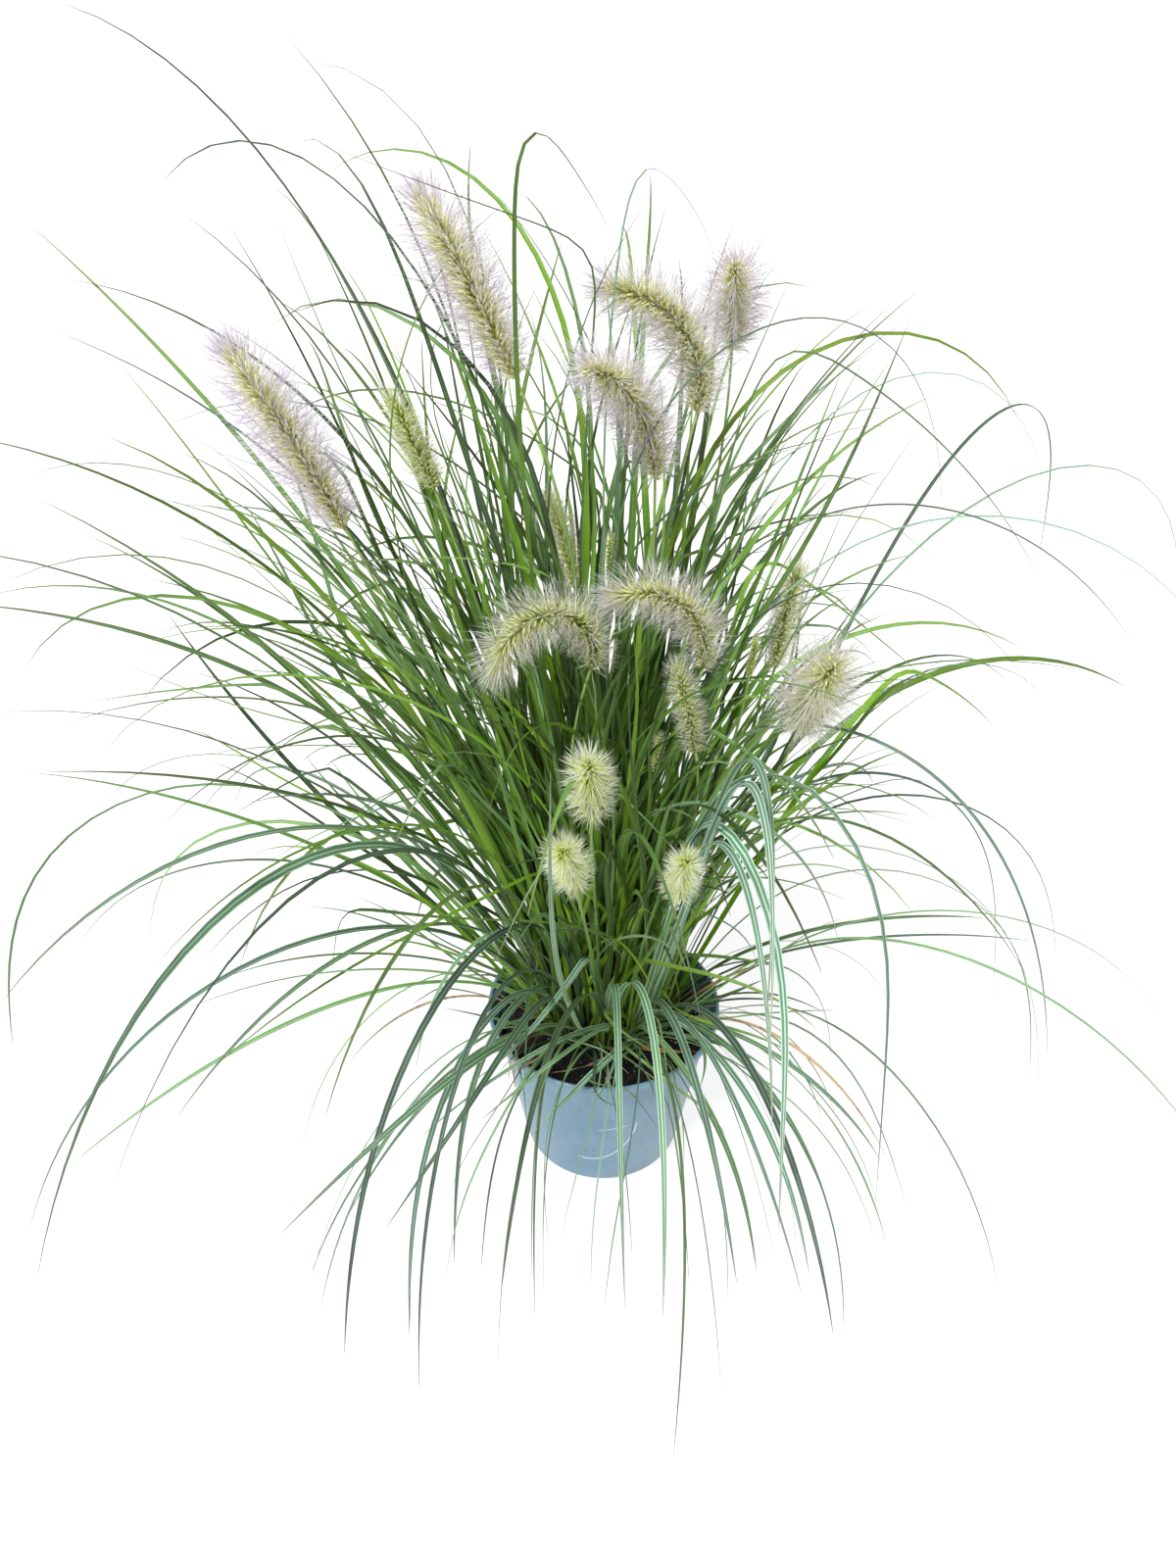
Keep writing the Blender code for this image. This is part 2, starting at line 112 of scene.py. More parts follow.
# Azimuth and reach of the foot of the spike, its height, the azimuth it bends to, its lean at
# the foot and at the tip, its length, the radius that its bristles reach, and its ripeness, from
# 0, yellow-green, to 1, with pale purplish bristles
STEMS = {
    "a": (170, 0.057, 0.64, 170, 24, 32, 0.118, 0.024, 0.9),
    "b": (172, 0.175, 0.54, 172, 24, 34, 0.135, 0.025, 1),
    "c": (34, 0.068, 0.611, 185, -13, 96, 0.116, 0.023, 0.8),
    "d": (22, 0.032, 0.577, 225, 2, 77, 0.114, 0.022, 0.85),
    "e": (53, 0.141, 0.631, 262, 24, 54, 0.085, 0.022, 0.9),
    "f": (105, 0.085, 0.47, 110, 35, 65, 0.08, 0.013, 0.1),
    "g": (160, 0.122, 0.56, 160, 20, 30, 0.065, 0.014, 0.1),
    "h": (255, 0.043, 0.47, 205, -20, 190, 0.121, 0.02, 0.5),
    "i": (333, 0.07, 0.464, 185, -14, 118, 0.105, 0.02, 0.65),
    "j": (322, 0.076, 0.408, 180, 9, 18, 0.07, 0.012, 0.3),
    "k": (15, 0.125, 0.43, 20, 5, 12, 0.08, 0.014, 0.4),
    "l": (330, 0.14, 0.44, 280, 22, 45, 0.095, 0.025, 0.55),
    "m": (266, 0.16, 0.438, 268, 25, 42, 0.08, 0.016, 0.05),
    "n": (264, 0.19, 0.41, 262, 30, 46, 0.08, 0.014, 0),
    "o": (284, 0.17, 0.382, 270, 28, 44, 0.08, 0.013, 0),
    "p": (88, 0.05, 0.49, 0, 0, 5, 0.035, 0.005, 0),
    "q": (330, 0.04, 0.375, 300, 5, 10, 0.035, 0.005, 0),
    "r": (350, 0.097, 0.45, 20, 5, 8, 0.03, 0.005, 0),
}

# Leaf shoots: azimuth and reach of the foot on the crown, how glaucous the leaves are (0 to 1),
# how wide they are, how many finer blades grow beside each main one, then one row for each main
# blade. A row is its azimuth, lean at the foot, droop, length, stiffness (a stiff one bends only
# near its tip) and sweep, the degrees it turns sideways.
SHOOTS = {
    "far_left": (150, 0.03, 0.35, 1.1, 4, (
        (150, 11, 72, 0.81, 4, 10),
        (133, 21, 80, 0.73, 5, -10),
        (165, 22, 30, 0.69, 2.2, 0),
        (163, 10, 84, 0.7, 2.7, 8),
        (172, 13, 62, 0.66, 2, 5),
    )),
    "left_high": (187, 0.034, 0.4, 1, 2, (
        (178, 17, 120, 0.64, 3.6, -6),
        (193, 15, 66, 0.64, 2.4, 0),
        (184, 23, 105, 0.59, 3.3, 0),
        (197, 12, 76, 0.58, 1.4, -8),
        (170, 50, -12, 0.45, 2.5, -20),
        (198, 33, 46, 0.48, 2.2, -3),
    )),
    "left_low": (213, 0.044, 0.75, 1, 1, (
        (220, 17, 211, 0.65, 2.3, 28),
        (197, 26, 420, 0.67, 3.2, 0),
        (212, 12, 160, 0.56, 2, 5),
        (220, 23, 120, 0.43, 1, -8),
        (207, 20, 250, 0.58, 1.6, 0),
        (236, 20, 135, 0.46, 2, -5),
    )),
    "top": (118, 0.018, 0.25, 1.1, 7, (
        (129, 3, 150, 0.8, 4.3, 25),
        (120, 3, 160, 0.8, 5, 35),
        (60, 14, 90, 0.72, 4.4, 30),
        (116, 20, 32, 0.69, 4.5, -28),
        (135, 14, 30, 0.65, 3, -20),
    )),
    "top_right": (62, 0.028, 0.25, 1, 7, (
        (37, 3, 70, 0.61, 2.6, -15),
        (30, 3, 55, 0.61, 1.7, -12),
        (20, 3, 114, 0.57, 4.5, -22),
        (65, 18, 110, 0.72, 4.5, 30),
        (20, 3, 221, 0.72, 4.6, -20),
    )),
    "right_high": (358, 0.038, 0.95, 0.5, 0, (
        (18, 4, 400, 0.79, 4.6, -5),
        (14, 18, 420, 0.77, 5, 5),
        (-7, 3, 190, 0.69, 3.2, -20),
        (-25, 19, 24, 0.43, 2.2, -8),
        (-18, 4, 200, 0.61, 4.2, -20),
    )),
    "right_low": (343, 0.05, 1, 0.45, 0, (
        (9, 20, 218, 0.53, 3.3, 8),
        (-19, 12, 500, 0.58, 2.5, -4),
        (-8, 15, 480, 0.6, 2.6, 10),
        (-16, 26, 95, 0.33, 1, 20),
        (-11, 24, 480, 0.52, 2.6, 5),
    )),
    "front_right": (307, 0.04, 1, 1, 0, (
        (-60, 18, 1400, 0.7, 6, -5),
        (-66, 18, 1300, 0.64, 5.6, -8),
        (292, 33, 196, 0.42, 2.3, -5),
        (282, 32, 150, 0.39, 2, 7),
        (276, 30, 150, 0.4, 2.2, 4),
    )),
    "front": (276, 0.0335, 0.85, 0.95, 0, (
        (278, 26, 379, 0.44, 2.9, -8),
        (265, 26, 200, 0.43, 2.4, 8),
        (261, 28, 150, 0.42, 2.1, 0),
        (268, 38, 30, 0.38, 1, -22),
    )),
    "front_left": (247, 0.04, 0.9, 1, 0, (
        (249, 25, 383, 0.53, 2.7, 10),
        (240, 10, 344, 0.55, 2.1, 6),
        (243, 28, 500, 0.46, 2.8, 5),
        (256, 16, 110, 0.38, 1.1, -18),
        (250, 32, 70, 0.4, 1, -14),
    )),
}

# Single blades that stand out, by the shoot that they grow from: azimuth and reach of the foot,
# half width, how glaucous, how light (0 to 1), the row, and where and by how many degrees it folds
ACCENTS = {
    "far_left": ((150, 0.03, 0.0021, 0.2, 0.4, (-2, -18, 85, 0.66, 4.1, 11)),),
    "left_high": ((200, 0.03, 0.0022, 0.2, 0.7, (332, 7, 129, 0.22, 1, 32)),),
    "left_low": ((215, 0.045, 0.0026, 0.8, 0.9, (224, 9, 314, 0.3, 2.9, 16)),),
    "top": (
        (118, 0.018, 0.0019, 0.5, 0.2, (187, 3, -14, 0.74, 1.8, 5), 0.79, 83),
        (118, 0.02, 0.002, 0.1, 0.2, (18, -7, 27, 0.77, 3.9, 45), 0.85, 157),
        (100, 0.01, 0.0022, 0.2, 0.3, (177, -7, 54, 0.65, 2.9, -4)),
        (118, 0.016, 0.002, 0.4, 0.2, (0, -9, 105, 0.57, 2.6, 1)),
    ),
    "top_right": (
        (62, 0.028, 0.0019, 0.2, 0.2, (8, -10, 49, 0.63, 3.4, -4)),
        (62, 0.03, 0.0009, 0.8, 0.6, (20, -3, 109, 0.8, 6, 47), 0.79, 110),
        (62, 0.028, 0.0017, 0, 0.4, (20, 0, 66, 0.6, 2.8, -3)),
        (60, 0.026, 0.0017, 0.3, 0.1, (24, -8, 59, 0.6, 1.2, -5)),
        (64, 0.024, 0.0019, 0.2, 0.4, (12, 0, 107, 0.58, 3.7, -5)),
    ),
    "right_high": (
        (358, 0.038, 0.0029, 0.2, 0.8, (23, 8, 13, 0.58, 3, -9), 0.69, 154),
        (356, 0.036, 0.0017, 0.5, 0.3, (14, 3, 99, 0.76, 4.8, -35), 0.72, 116),
        (358, 0.038, 0.0017, 0.9, 0.1, (27, 29, 539, 0.81, 6, 23)),
        (358, 0.04, 0.0014, 0.8, 0.1, (-12, -5, 190, 0.69, 2.9, -25)),
        (358, 0.036, 0.0013, 0.9, 0.2, (12, -7, 619, 0.86, 5.1, 0)),
    ),
    "right_low": (
        (343, 0.05, 0.0034, 0, 0.9, (3, 23, 68, 0.46, 4.6, 12), 0.78, 101),
        (343, 0.05, 0.0016, 1, 0.3, (1, 7, 626, 0.61, 2.8, -1)),
        (343, 0.048, 0.0018, 1, 0.4, (-18, -7, 363, 0.66, 2.4, -28)),
        (343, 0.052, 0.002, 0.6, 0.3, (-14, 15, 106, 0.3, 0.9, 24)),
    ),
    "front_right": (
        (300, 0.045, 0.003, 1, 0.7, (287, 22, 204, 0.57, 4.4, -16)),
        (307, 0.04, 0.0032, 1, 0.8, (290, 25, 199, 0.62, 6, -25)),
        (315, 0.045, 0.003, 0.9, 0.6, (295, 20, 235, 0.6, 5.5, -32)),
        (300, 0.05, 0.0029, 0.9, 0.7, (233, 11, 172, 0.24, 0.9, -39)),
        (300, 0.052, 0.0033, 1, 0.9, (253, 30, 139, 0.15, 1, -45)),
        (292, 0.052, 0.0026, 0.7, 0.5, (285, 6, 456, 0.31, 1.3, 56)),
        (300, 0.05, 0.0028, 1, 0.8, (310, -20, 364, 0.33, 0.9, 11)),
        (308, 0.052, 0.0028, 0.8, 0.6, (314, 4, 247, 0.26, 1, 3)),
        (312, 0.052, 0.0023, 0.9, 0.6, (318, 16, 217, 0.26, 1, 31)),
    ),
    "front": (
        (276, 0.034, 0.002, 0.9, 0.7, (297, 1, 325, 0.44, 3.7, 41)),
        (262, 0.03, 0.0018, 0.6, 0.6, (275, 2, 155, 0.42, 2.6, -31)),
        (276, 0.0335, 0.0031, 1, 0.9, (250, 18, -40, 0.27, 3.7, -18), 0.47, 100),
    ),
    "front_left": (
        (255, 0.045, 0.0017, 0.8, 0.7, (260, 36, -14, 0.56, 4.6, 15)),
        (232, 0.05, 0.0031, 0.9, 0.2, (235, -4, 655, 0.37, 1.7, 5)),
        (225, 0.052, 0.0026, 0.9, 0.3, (230, 18, 218, 0.27, 0.9, -21)),
    ),
}

# Dead leaves, by shoot: azimuth and reach of the foot, half width, how rusty (0 straw, 1 rust),
# and the row
DEAD_LEAVES = {
    "front": (
        (270, 0.046, 0.0014, 0.2, (282, 40, 100, 0.11, 1.2, 50)),
        (284, 0.05, 0.0012, 0.5, (250, 58, 70, 0.07, 1, -80)),
    ),
    "front_left": (
        (214, 0.04, 0.0016, 0.3, (262, 8, 50, 0.15, 2, -40)),
        (206, 0.044, 0.0013, 0.1, (240, 20, 110, 0.17, 1.3, 30)),
        (222, 0.05, 0.0015, 0.9, (200, 45, 90, 0.09, 1, 90)),
        (232, 0.052, 0.0012, 0.6, (262, 50, 90, 0.08, 1.4, -70)),
    ),
    "front_right": (
        (297, 0.05, 0.002, 1, (315, 62, 60, 0.062, 1.2, 60)),
        (318, 0.05, 0.0013, 0.3, (330, 38, 160, 0.26, 1.5, -20)),
    ),
    "left_low": (
        (205, 0.05, 0.0012, 0.2, (190, 40, 150, 0.2, 1.6, 25)),
        (199, 0.052, 0.0015, 0.7, (176, 55, 60, 0.075, 1, -60)),
    ),
    "right_low": (
        (345, 0.053, 0.0014, 0.8, (10, 44, 120, 0.12, 1.3, 40)),
        (338, 0.054, 0.0007, 0, (335, 35, 300, 0.23, 1.6, -12)),
        (352, 0.05, 0.0006, 0, (350, 26, 330, 0.3, 2, 14)),
    ),
}

# The other shoots, all the way round: azimuth and reach of the foot, the lean of the blades, and
# how many finer ones grow beside each
INNER_SHOOTS = (
    (26, 0.046, 24, 0), (60, 0.044, 32, 1), (85, 0.046, 26, 2), (112, 0.044, 34, 1),
    (137, 0.046, 24, 1), (166, 0.0525, 36, 0), (195, 0.018, 8, 1), (282, 0.01, 10, 2),
    (322, 0.055, 34, 0), (225, 0.028, 16, 1), (310, 0.022, 12, 1), (20, 0.008, 6, 2),
)
INNER_BLADES, INNER_FAN = 3, 34  # how many, and the degrees from the first to the last
INNER_LENGTH, INNER_DROOP = 0.56, 90
INNER_LOOKS = (0.15, 1)  # how glaucous and how wide their blades are
LOW_LOOKS = (0.8, 0.45)  # the same where they lean far out
FAR_OUT = 30
COUSIN_SPREAD = 0.01  # of the feet of a shoot's blades about the shoot's own foot

# Finer blades: their half widths, from and to, as shares of a main blade's, and the degrees that
# they wander to their sides
COUSIN = ((0.6, 1.1), 9)
UPRIGHT = ((0.65, 1.05), 10)
BASAL = ((0.35, 0.7), 14)
SKIRT = ((0.22, 0.5), 20)
MAIN_SIZE, MAIN_WANDER = (0.85, 1.25), 3
MAIN_TONE, COUSIN_TONE = 0.15, 0.22  # how much a blade's tone differs from its shoot's
MAIN_TWIST, FINE_TWIST, DEAD_TWIST = (8, 35), (22, 65), (30, 160)  # degrees, at foot and tip
ACCENT_TWIST = (0, 25)
COUSIN_TURN, COUSIN_LEAN, COUSIN_SWEEP = 13, 4, 14  # degrees it differs from its main blade by

# The dense upright middle of the clump
UPRIGHT_COUNT = 290
UPRIGHT_FAN = 13  # degrees that blades at the edge of the crown lean outwards
UPRIGHT_SIDE = -3  # degrees that all of them lean to the right
UPRIGHT_LOOSE = 6.5
UPRIGHT_DROOP, UPRIGHT_LENGTH, UPRIGHT_STIFFNESS = (5, 100), (0.34, 0.64), (2.2, 4.5)
UPRIGHT_SWEEP = 18
UPRIGHT_BENT, MORE_DROOP = 0.12, 90  # share of them that droop more, and by how much

# Blades at the edge of the crown: short ones round the foot of the clump, and fine curly ones
# that hang over the rim, most of them at the front
BASAL_BLADES = {
    "count": 54, "seed": 21, "all_round": 0.6, "front": (262, 60), "nearest": 0.75, "turn": 38,
    "ranges": ((35, 80), (0, 70), (0.06, 0.24), (0.9, 2)), "sweep": 40,
}
SKIRT_BLADES = {
    "count": 30, "seed": 33, "all_round": 0, "front": (260, 38), "nearest": 0.8, "turn": 16,
    "ranges": ((22, 40), (220, 560), (0.24, 0.46), (1, 1.9)), "sweep": 30,
}


# --- paths ---
def headings(azimuths, leans):
    """Unit vectors that lean by leans from upright towards azimuths, all in degrees."""
    turns, tips = np.radians(azimuths), np.radians(leans)
    flat = np.sin(tips)
    return np.stack([flat * np.cos(turns), flat * np.sin(turns), np.cos(tips) + 0 * turns], -1)


def level(azimuths):
    """Unit vectors at right angles to azimuths, in the horizontal plane."""
    turns = np.radians(azimuths)
    return np.stack([-np.sin(turns), np.cos(turns), 0 * turns], -1)


def on_crown(azimuth, reach, height=ROOT_LEVEL):
    turn = math.radians(azimuth)
    return np.array([CROWN[0] + reach * math.cos(turn), CROWN[1] + reach * math.sin(turn), height])


def walk(foot, steps_taken):
    return np.vstack([foot, foot + np.cumsum(steps_taken, axis=0)])


def blade_path(row, foot, steps, bend=EVEN):
    """A blade's points, headings and level side vectors. It leaves its foot straight, bends over
    more and more, and at the last hangs. A bend is where it folds, the degrees that it falls
    over there, and the degrees and phase of the wave in which it wanders to its sides."""
    azimuth, lean, droop, length, stiffness, sweep = row
    place, fall, wander, phase = bend

    def ways_at(shares):
        folded = fall / (1 + np.exp(-(shares - place) / KINK_SOFTNESS))
        bent = HANG * np.tanh((lean + droop * shares**stiffness + folded) / HANG)
        aside = wander * (np.sin(phase + WANDER_WAVE * shares) - math.sin(phase))
        turn = np.radians(azimuth + sweep * shares)
        lean_x = bent * np.cos(turn) - aside * np.sin(turn)
        lean_y = bent * np.sin(turn) + aside * np.cos(turn)
        return headings(np.degrees(np.arctan2(lean_y, lean_x)), np.hypot(lean_x, lean_y))

    ways = ways_at((np.arange(steps) + 0.5) / steps)
    ends = np.linspace(0, 1, steps + 1)
    return walk(foot, ways * length / steps), ways_at(ends), level(azimuth + sweep * ends)


def spike_axis(row, shares):
    """Places at these shares of a spike's bent axis, its ways there and two at right angles."""
    azimuth, reach, height, towards, lean, tip_lean, length = row[:7]
    ways = headings(towards, lean + (tip_lean - lean) * (np.arange(SPIKE_FINE) + 0.5) / SPIKE_FINE)
    points = walk(on_crown(azimuth, reach, height), ways * length / SPIKE_FINE)
    places = np.stack([np.interp(shares, SPIKE_MARKS, points[:, k]) for k in range(3)], -1)
    ways = headings(towards, lean + (tip_lean - lean) * shares)
    sides = level(towards)
    return places, ways, sides, np.cross(ways, sides)


def unit(vectors):
    return vectors / np.linalg.norm(vectors, axis=-1, keepdims=True)


def cross_ways(ways):
    """Two unit vectors at right angles to each way."""
    helper = np.where(np.abs(ways[..., 2:]) < 0.9, np.array([0.0, 0, 1]), np.array([1.0, 0, 0]))
    sides = unit(np.cross(helper, ways))
    return sides, np.cross(ways, sides)


def tube_rings(points, sides, ups, radii, count):
    """Round rings about points, across the ways that are at right angles to sides and ups."""
    angles = np.arange(count) * 2 * math.pi / count
    rounds = (
        sides[..., None, :] * np.cos(angles)[:, None] + ups[..., None, :] * np.sin(angles)[:, None]
    )
    return points[..., None, :] + rounds * radii[..., None, None]


# --- meshes ---
def marked(shape, across=0, along=0, tone=0, vary=0):
    """The four marks of each point, for an array of points of this shape."""
    marks = np.empty((*shape, 4))
    for number, mark in enumerate((across, along, tone, vary)):
        marks[..., number] = mark
    return marks


def tube_wall(length, sides):
    """The triangles between the rings of a tube."""
    index = np.arange(length * sides).reshape(length, sides)
    low, high = index[:-1], index[1:]
    low_next, high_next = np.roll(low, -1, 1), np.roll(high, -1, 1)
    return np.stack([low, low_next, high_next, low, high_next, high], -1).reshape(-1, 3)


def add_object(name, data):
    """A new object, linked to the scene."""
    thing = bpy.data.objects.new(name, data)
    bpy.context.scene.collection.objects.link(thing)
    return thing


class Shape:
    """Points, triangles and four marks at each point, gathered for one mesh."""

    def __init__(self):
        self.points, self.marks, self.triangles, self.count = [], [], [], 0

    def add(self, points, marks, triangles):
        """Adds many like shapes: the first axis of points and marks counts them, and triangles
        are those of one."""
        copies = len(points)
        points = points.reshape(copies, -1, 3)
        firsts = self.count + np.arange(copies)[:, None, None] * points.shape[1]
        self.points.append(points.reshape(-1, 3))
        self.marks.append(marks.reshape(-1, 4))
        self.triangles.append((triangles + firsts).reshape(-1, 3))
        self.count += copies * points.shape[1]

    def add_tubes(self, rings, marks):
        """Closed tubes: rings has the shape (tubes, rings, sides, 3), right-handed about the way
        each tube runs."""
        _, length, sides, _ = rings.shape
        fan = np.array([(0, side, side + 1) for side in range(1, sides - 1)])
        ends = (fan[:, ::-1], fan + (length - 1) * sides)
        self.add(rings, marks, np.vstack([tube_wall(length, sides), *ends]))

    def add_needles(self, rings, tips, marks, tip_marks):
        """Tubes that each end in a point."""
        needles, length, sides, _ = rings.shape
        fan = np.array([(0, side + 1, side) for side in range(1, sides - 1)])
        last = np.arange((length - 1) * sides, length * sides)
        point = np.stack([last, np.roll(last, -1), np.full(sides, length * sides)], -1)
        points = np.concatenate([rings.reshape(needles, -1, 3), tips[:, None]], 1)
        marked_points = np.concatenate([marks.reshape(needles, -1, 4), tip_marks[:, None]], 1)
        self.add(points, marked_points, np.vstack([tube_wall(length, sides), fan, point]))

    def build(self, name, material, slot, node=None, sharp_angle=None):
        """Makes the mesh object, which rides on the plant's only body, in place of the node."""
        points = np.concatenate(self.points).astype(np.float32)
        marks = np.concatenate(self.marks).astype(np.float32)
        triangles = np.concatenate(self.triangles).astype(np.int32)
        mesh = bpy.data.meshes.new(name)
        mesh.vertices.add(len(points))
        mesh.vertices.foreach_set("co", points.ravel())
        mesh.loops.add(triangles.size)
        mesh.loops.foreach_set("vertex_index", triangles.ravel())
        mesh.polygons.add(len(triangles))
        mesh.polygons.foreach_set("loop_start", np.arange(0, triangles.size, 3, dtype=np.int32))
        mesh.update(calc_edges=True)
        mesh.validate()
        mesh.shade_smooth()
        if sharp_angle is not None:
            mesh.set_sharp_from_angle(angle=math.radians(sharp_angle))
        mark = mesh.attributes.new("mark", "FLOAT_VECTOR", "POINT")
        mark.data.foreach_set("vector", marks[:, :3].ravel())
        vary = mesh.attributes.new("vary", "FLOAT", "POINT")
        vary.data.foreach_set("value", marks[:, 3].copy())
        mesh.materials.append(material)
        piece = add_object(name, mesh)
        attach(piece, "root")
        if node:
            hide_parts(node)


# --- materials ---
class Graph:
    """Short calls that lay out one material's nodes."""

    def __init__(self, name):
        self.material = bpy.data.materials.new(name)
        self.material.use_nodes = True
        self.tree = self.material.node_tree
        self.shader = self.tree.nodes["Principled BSDF"]

    def put(self, kind, inputs=(), **settings):
        """A new node with its settings, each input linked to a socket or set to a value."""
        node = self.tree.nodes.new(kind)
        for key, value in settings.items():
            setattr(node, key, value)
        for socket, value in dict(inputs).items():
            self.feed(node.inputs[socket], value)
        return node

    def feed(self, socket, value):
        if isinstance(value, bpy.types.NodeSocket):
            self.tree.links.new(value, socket)
        else:
            socket.default_value = value

    def math(self, operation, first, second=0):
        return self.put("ShaderNodeMath", {0: first, 1: second}, operation=operation).outputs[0]

    def times(self, first, second):
        return self.math("MULTIPLY", first, second)

    def fit(self, value, low, high, new_low=0, new_high=1):
        """Value, taken from low..high to new_low..new_high and held within it."""
        inputs = {0: value, 1: low, 2: high, 3: new_low, 4: new_high}
        return self.put("ShaderNodeMapRange", inputs).outputs[0]

    def ramp(self, value, *stops):
        """Each stop is its place and its colour."""
        node = self.put("ShaderNodeValToRGB", {0: value})
        elements = node.color_ramp.elements
        while len(elements) < len(stops):
            elements.new(0.5)
        for element, (place, *colour) in zip(elements, stops):
            element.position = place
            element.color = (*colour, 1)
        return node.outputs[0]

    def mix(self, share, first, second, blend="MIX"):
        node = self.put("ShaderNodeMix", {0: share}, data_type="RGBA", blend_type=blend)
        for socket, value in ((6, first), (7, second)):
            self.feed(node.inputs[socket], (*value, 1) if isinstance(value, tuple) else value)
        return node.outputs[2]

    def noise(self, vector, scale, detail=3):
        inputs = {"Vector": vector, "Scale": scale, "Detail": detail}
        return self.put("ShaderNodeTexNoise", inputs).outputs[0]

    def split(self, vector):
        return self.put("ShaderNodeSeparateXYZ", {0: vector}).outputs

    def attribute(self, name, output):
        return self.put("ShaderNodeAttribute", attribute_name=name).outputs[output]

    def marks(self):
        """The four marks that every made mesh carries."""
        return *self.split(self.attribute("mark", "Vector")), self.attribute("vary", "Fac")

    def place(self):
        return self.put("ShaderNodeTexCoord").outputs["Object"]

    def stretched(self, *scale):
        """The place, scaled by three factors."""
        return self.put("ShaderNodeMapping", {0: self.place(), 3: scale}).outputs[0]

    def ridges(self, across, waves):
        return self.fit(self.math("SINE", self.times(across, waves)), -1, 1)

    def surface(self, colour, roughness, others=()):
        for name, value in {"Base Color": colour, "Roughness": roughness, **dict(others)}.items():
            self.feed(self.shader.inputs[name], value)

    def bump(self, height, strength, distance):
        inputs = {"Height": height, "Strength": strength, "Distance": distance}
        self.feed(self.shader.inputs["Normal"], self.put("ShaderNodeBump", inputs).outputs[0])

    def glow_through(self, colour, share):
        """Lets some light through, as thin leaves and bristles do."""
        through = self.put("ShaderNodeBsdfTranslucent", {0: colour}).outputs[0]
        inputs = {0: share, 1: self.shader.outputs[0], 2: through}
        mixed = self.put("ShaderNodeMixShader", inputs).outputs[0]
        self.feed(self.tree.nodes["Material Output"].inputs[0], mixed)


def leaf_material():
    """Marks: across the blade -1..1, along it 0..1, glaucous 0..1, and chance by blade."""
    graph = Graph("leaf_blade")
    across, along, tone, vary = graph.marks()
    # the fresh green grows darker from about half way along towards the tip: painted shade that
    # darkens the upper part of the clump; the brown at the very tip is the leaf's own dry colour
    fresh = graph.ramp(
        along, (0, 0.36, 0.4, 0.1), (0.07, 0.28, 0.44, 0.025), (0.3, 0.215, 0.42, 0.004),
        (0.6, 0.19, 0.37, 0.01), (0.8, 0.12, 0.25, 0.014), (0.95, 0.13, 0.19, 0.05),
        (1, 0.24, 0.18, 0.11),
    )
    glaucous = graph.ramp(
        along, (0, 0.3, 0.36, 0.12), (0.1, 0.12, 0.26, 0.06), (0.4, 0.08, 0.2, 0.11),
        (0.8, 0.11, 0.22, 0.165), (0.95, 0.17, 0.2, 0.18), (1, 0.23, 0.18, 0.16),
    )
    chance = graph.math("FRACT", graph.times(vary, 7.3))
    fresh = graph.mix(graph.fit(chance, 0.55, 1, 0, 0.55), fresh, (0.27, 0.42, 0.018))
    colour = graph.mix(tone, fresh, glaucous)

    # pale midrib and margins, and darker veins
    off_middle = graph.math("ABSOLUTE", across)
    midrib = graph.fit(off_middle, 0.08, 0.26, 1, 0)
    stripes = graph.math("MAXIMUM", midrib, graph.fit(off_middle, 0.66, 0.9))
    strength = graph.times(graph.fit(along, 0, 0.12), graph.fit(tone, 0, 1, 0.3, 0.9))
    pale = graph.mix(tone, (0.34, 0.56, 0.1), (0.52, 0.66, 0.54))
    colour = graph.mix(graph.times(stripes, strength), colour, pale)
    veins = graph.ridges(across, 31)
    colour = graph.mix(graph.times(veins, 0.3), colour, (0.03, 0.09, 0.02))

    # lighter and darker, from blade to blade and in blotches
    blotches = graph.fit(graph.noise(graph.place(), 34), 0.3, 0.7, -0.12, 0.12)
    shade = graph.math("ADD", graph.fit(vary, 0, 1, 0.3, 1.72), blotches)
    shades = graph.put("ShaderNodeCombineXYZ", {0: shade, 1: shade, 2: shade}).outputs[0]
    colour = graph.mix(1, colour, shades, "MULTIPLY")
    graph.surface(colour, graph.fit(tone, 0, 1, 0.38, 0.55))
    graph.bump(veins, 0.35, 0.0003)
    graph.glow_through(graph.mix(0.3, colour, (0.25, 0.48, 0.01)), 0.3)
    return graph.material


def dry_material():
    """Marks: as the leaf's, but rusty 0..1 in place of glaucous."""
    graph = Graph("dry_leaf")
    across, along, rusty, _ = graph.marks()
    straw = graph.ramp(
        along, (0, 0.42, 0.36, 0.17), (0.5, 0.6, 0.54, 0.36), (1, 0.5, 0.43, 0.33),
    )
    rust = graph.ramp(
        along, (0, 0.4, 0.18, 0.05), (0.4, 0.76, 0.36, 0.1), (1, 0.74, 0.5, 0.28),
    )
    colour = graph.mix(rusty, straw, rust)
    veins = graph.ridges(across, 23)
    colour = graph.mix(graph.times(veins, 0.3), colour, (0.34, 0.22, 0.1))
    spots = graph.fit(graph.noise(graph.place(), 180), 0.55, 0.7)
    colour = graph.mix(graph.times(spots, 0.6), colour, (0.16, 0.08, 0.03))
    graph.surface(colour, 0.75)
    graph.bump(veins, 0.5, 0.0004)
    graph.glow_through(colour, 0.25)
    return graph.material


def spike_material(name, young, old, light, chance, roughness, glow):
    """Marks: unused, along the spikelet or bristle 0..1, ripeness 0..1, and chance by each. Light
    is the colour that chance mixes in."""
    graph = Graph(name)
    _, along, ripe, vary = graph.marks()
    colour = graph.mix(ripe, graph.ramp(along, *young), graph.ramp(along, *old))
    colour = graph.mix(graph.fit(vary, *chance), colour, light)
    graph.surface(colour, roughness)
    graph.glow_through(colour, glow)
    return graph


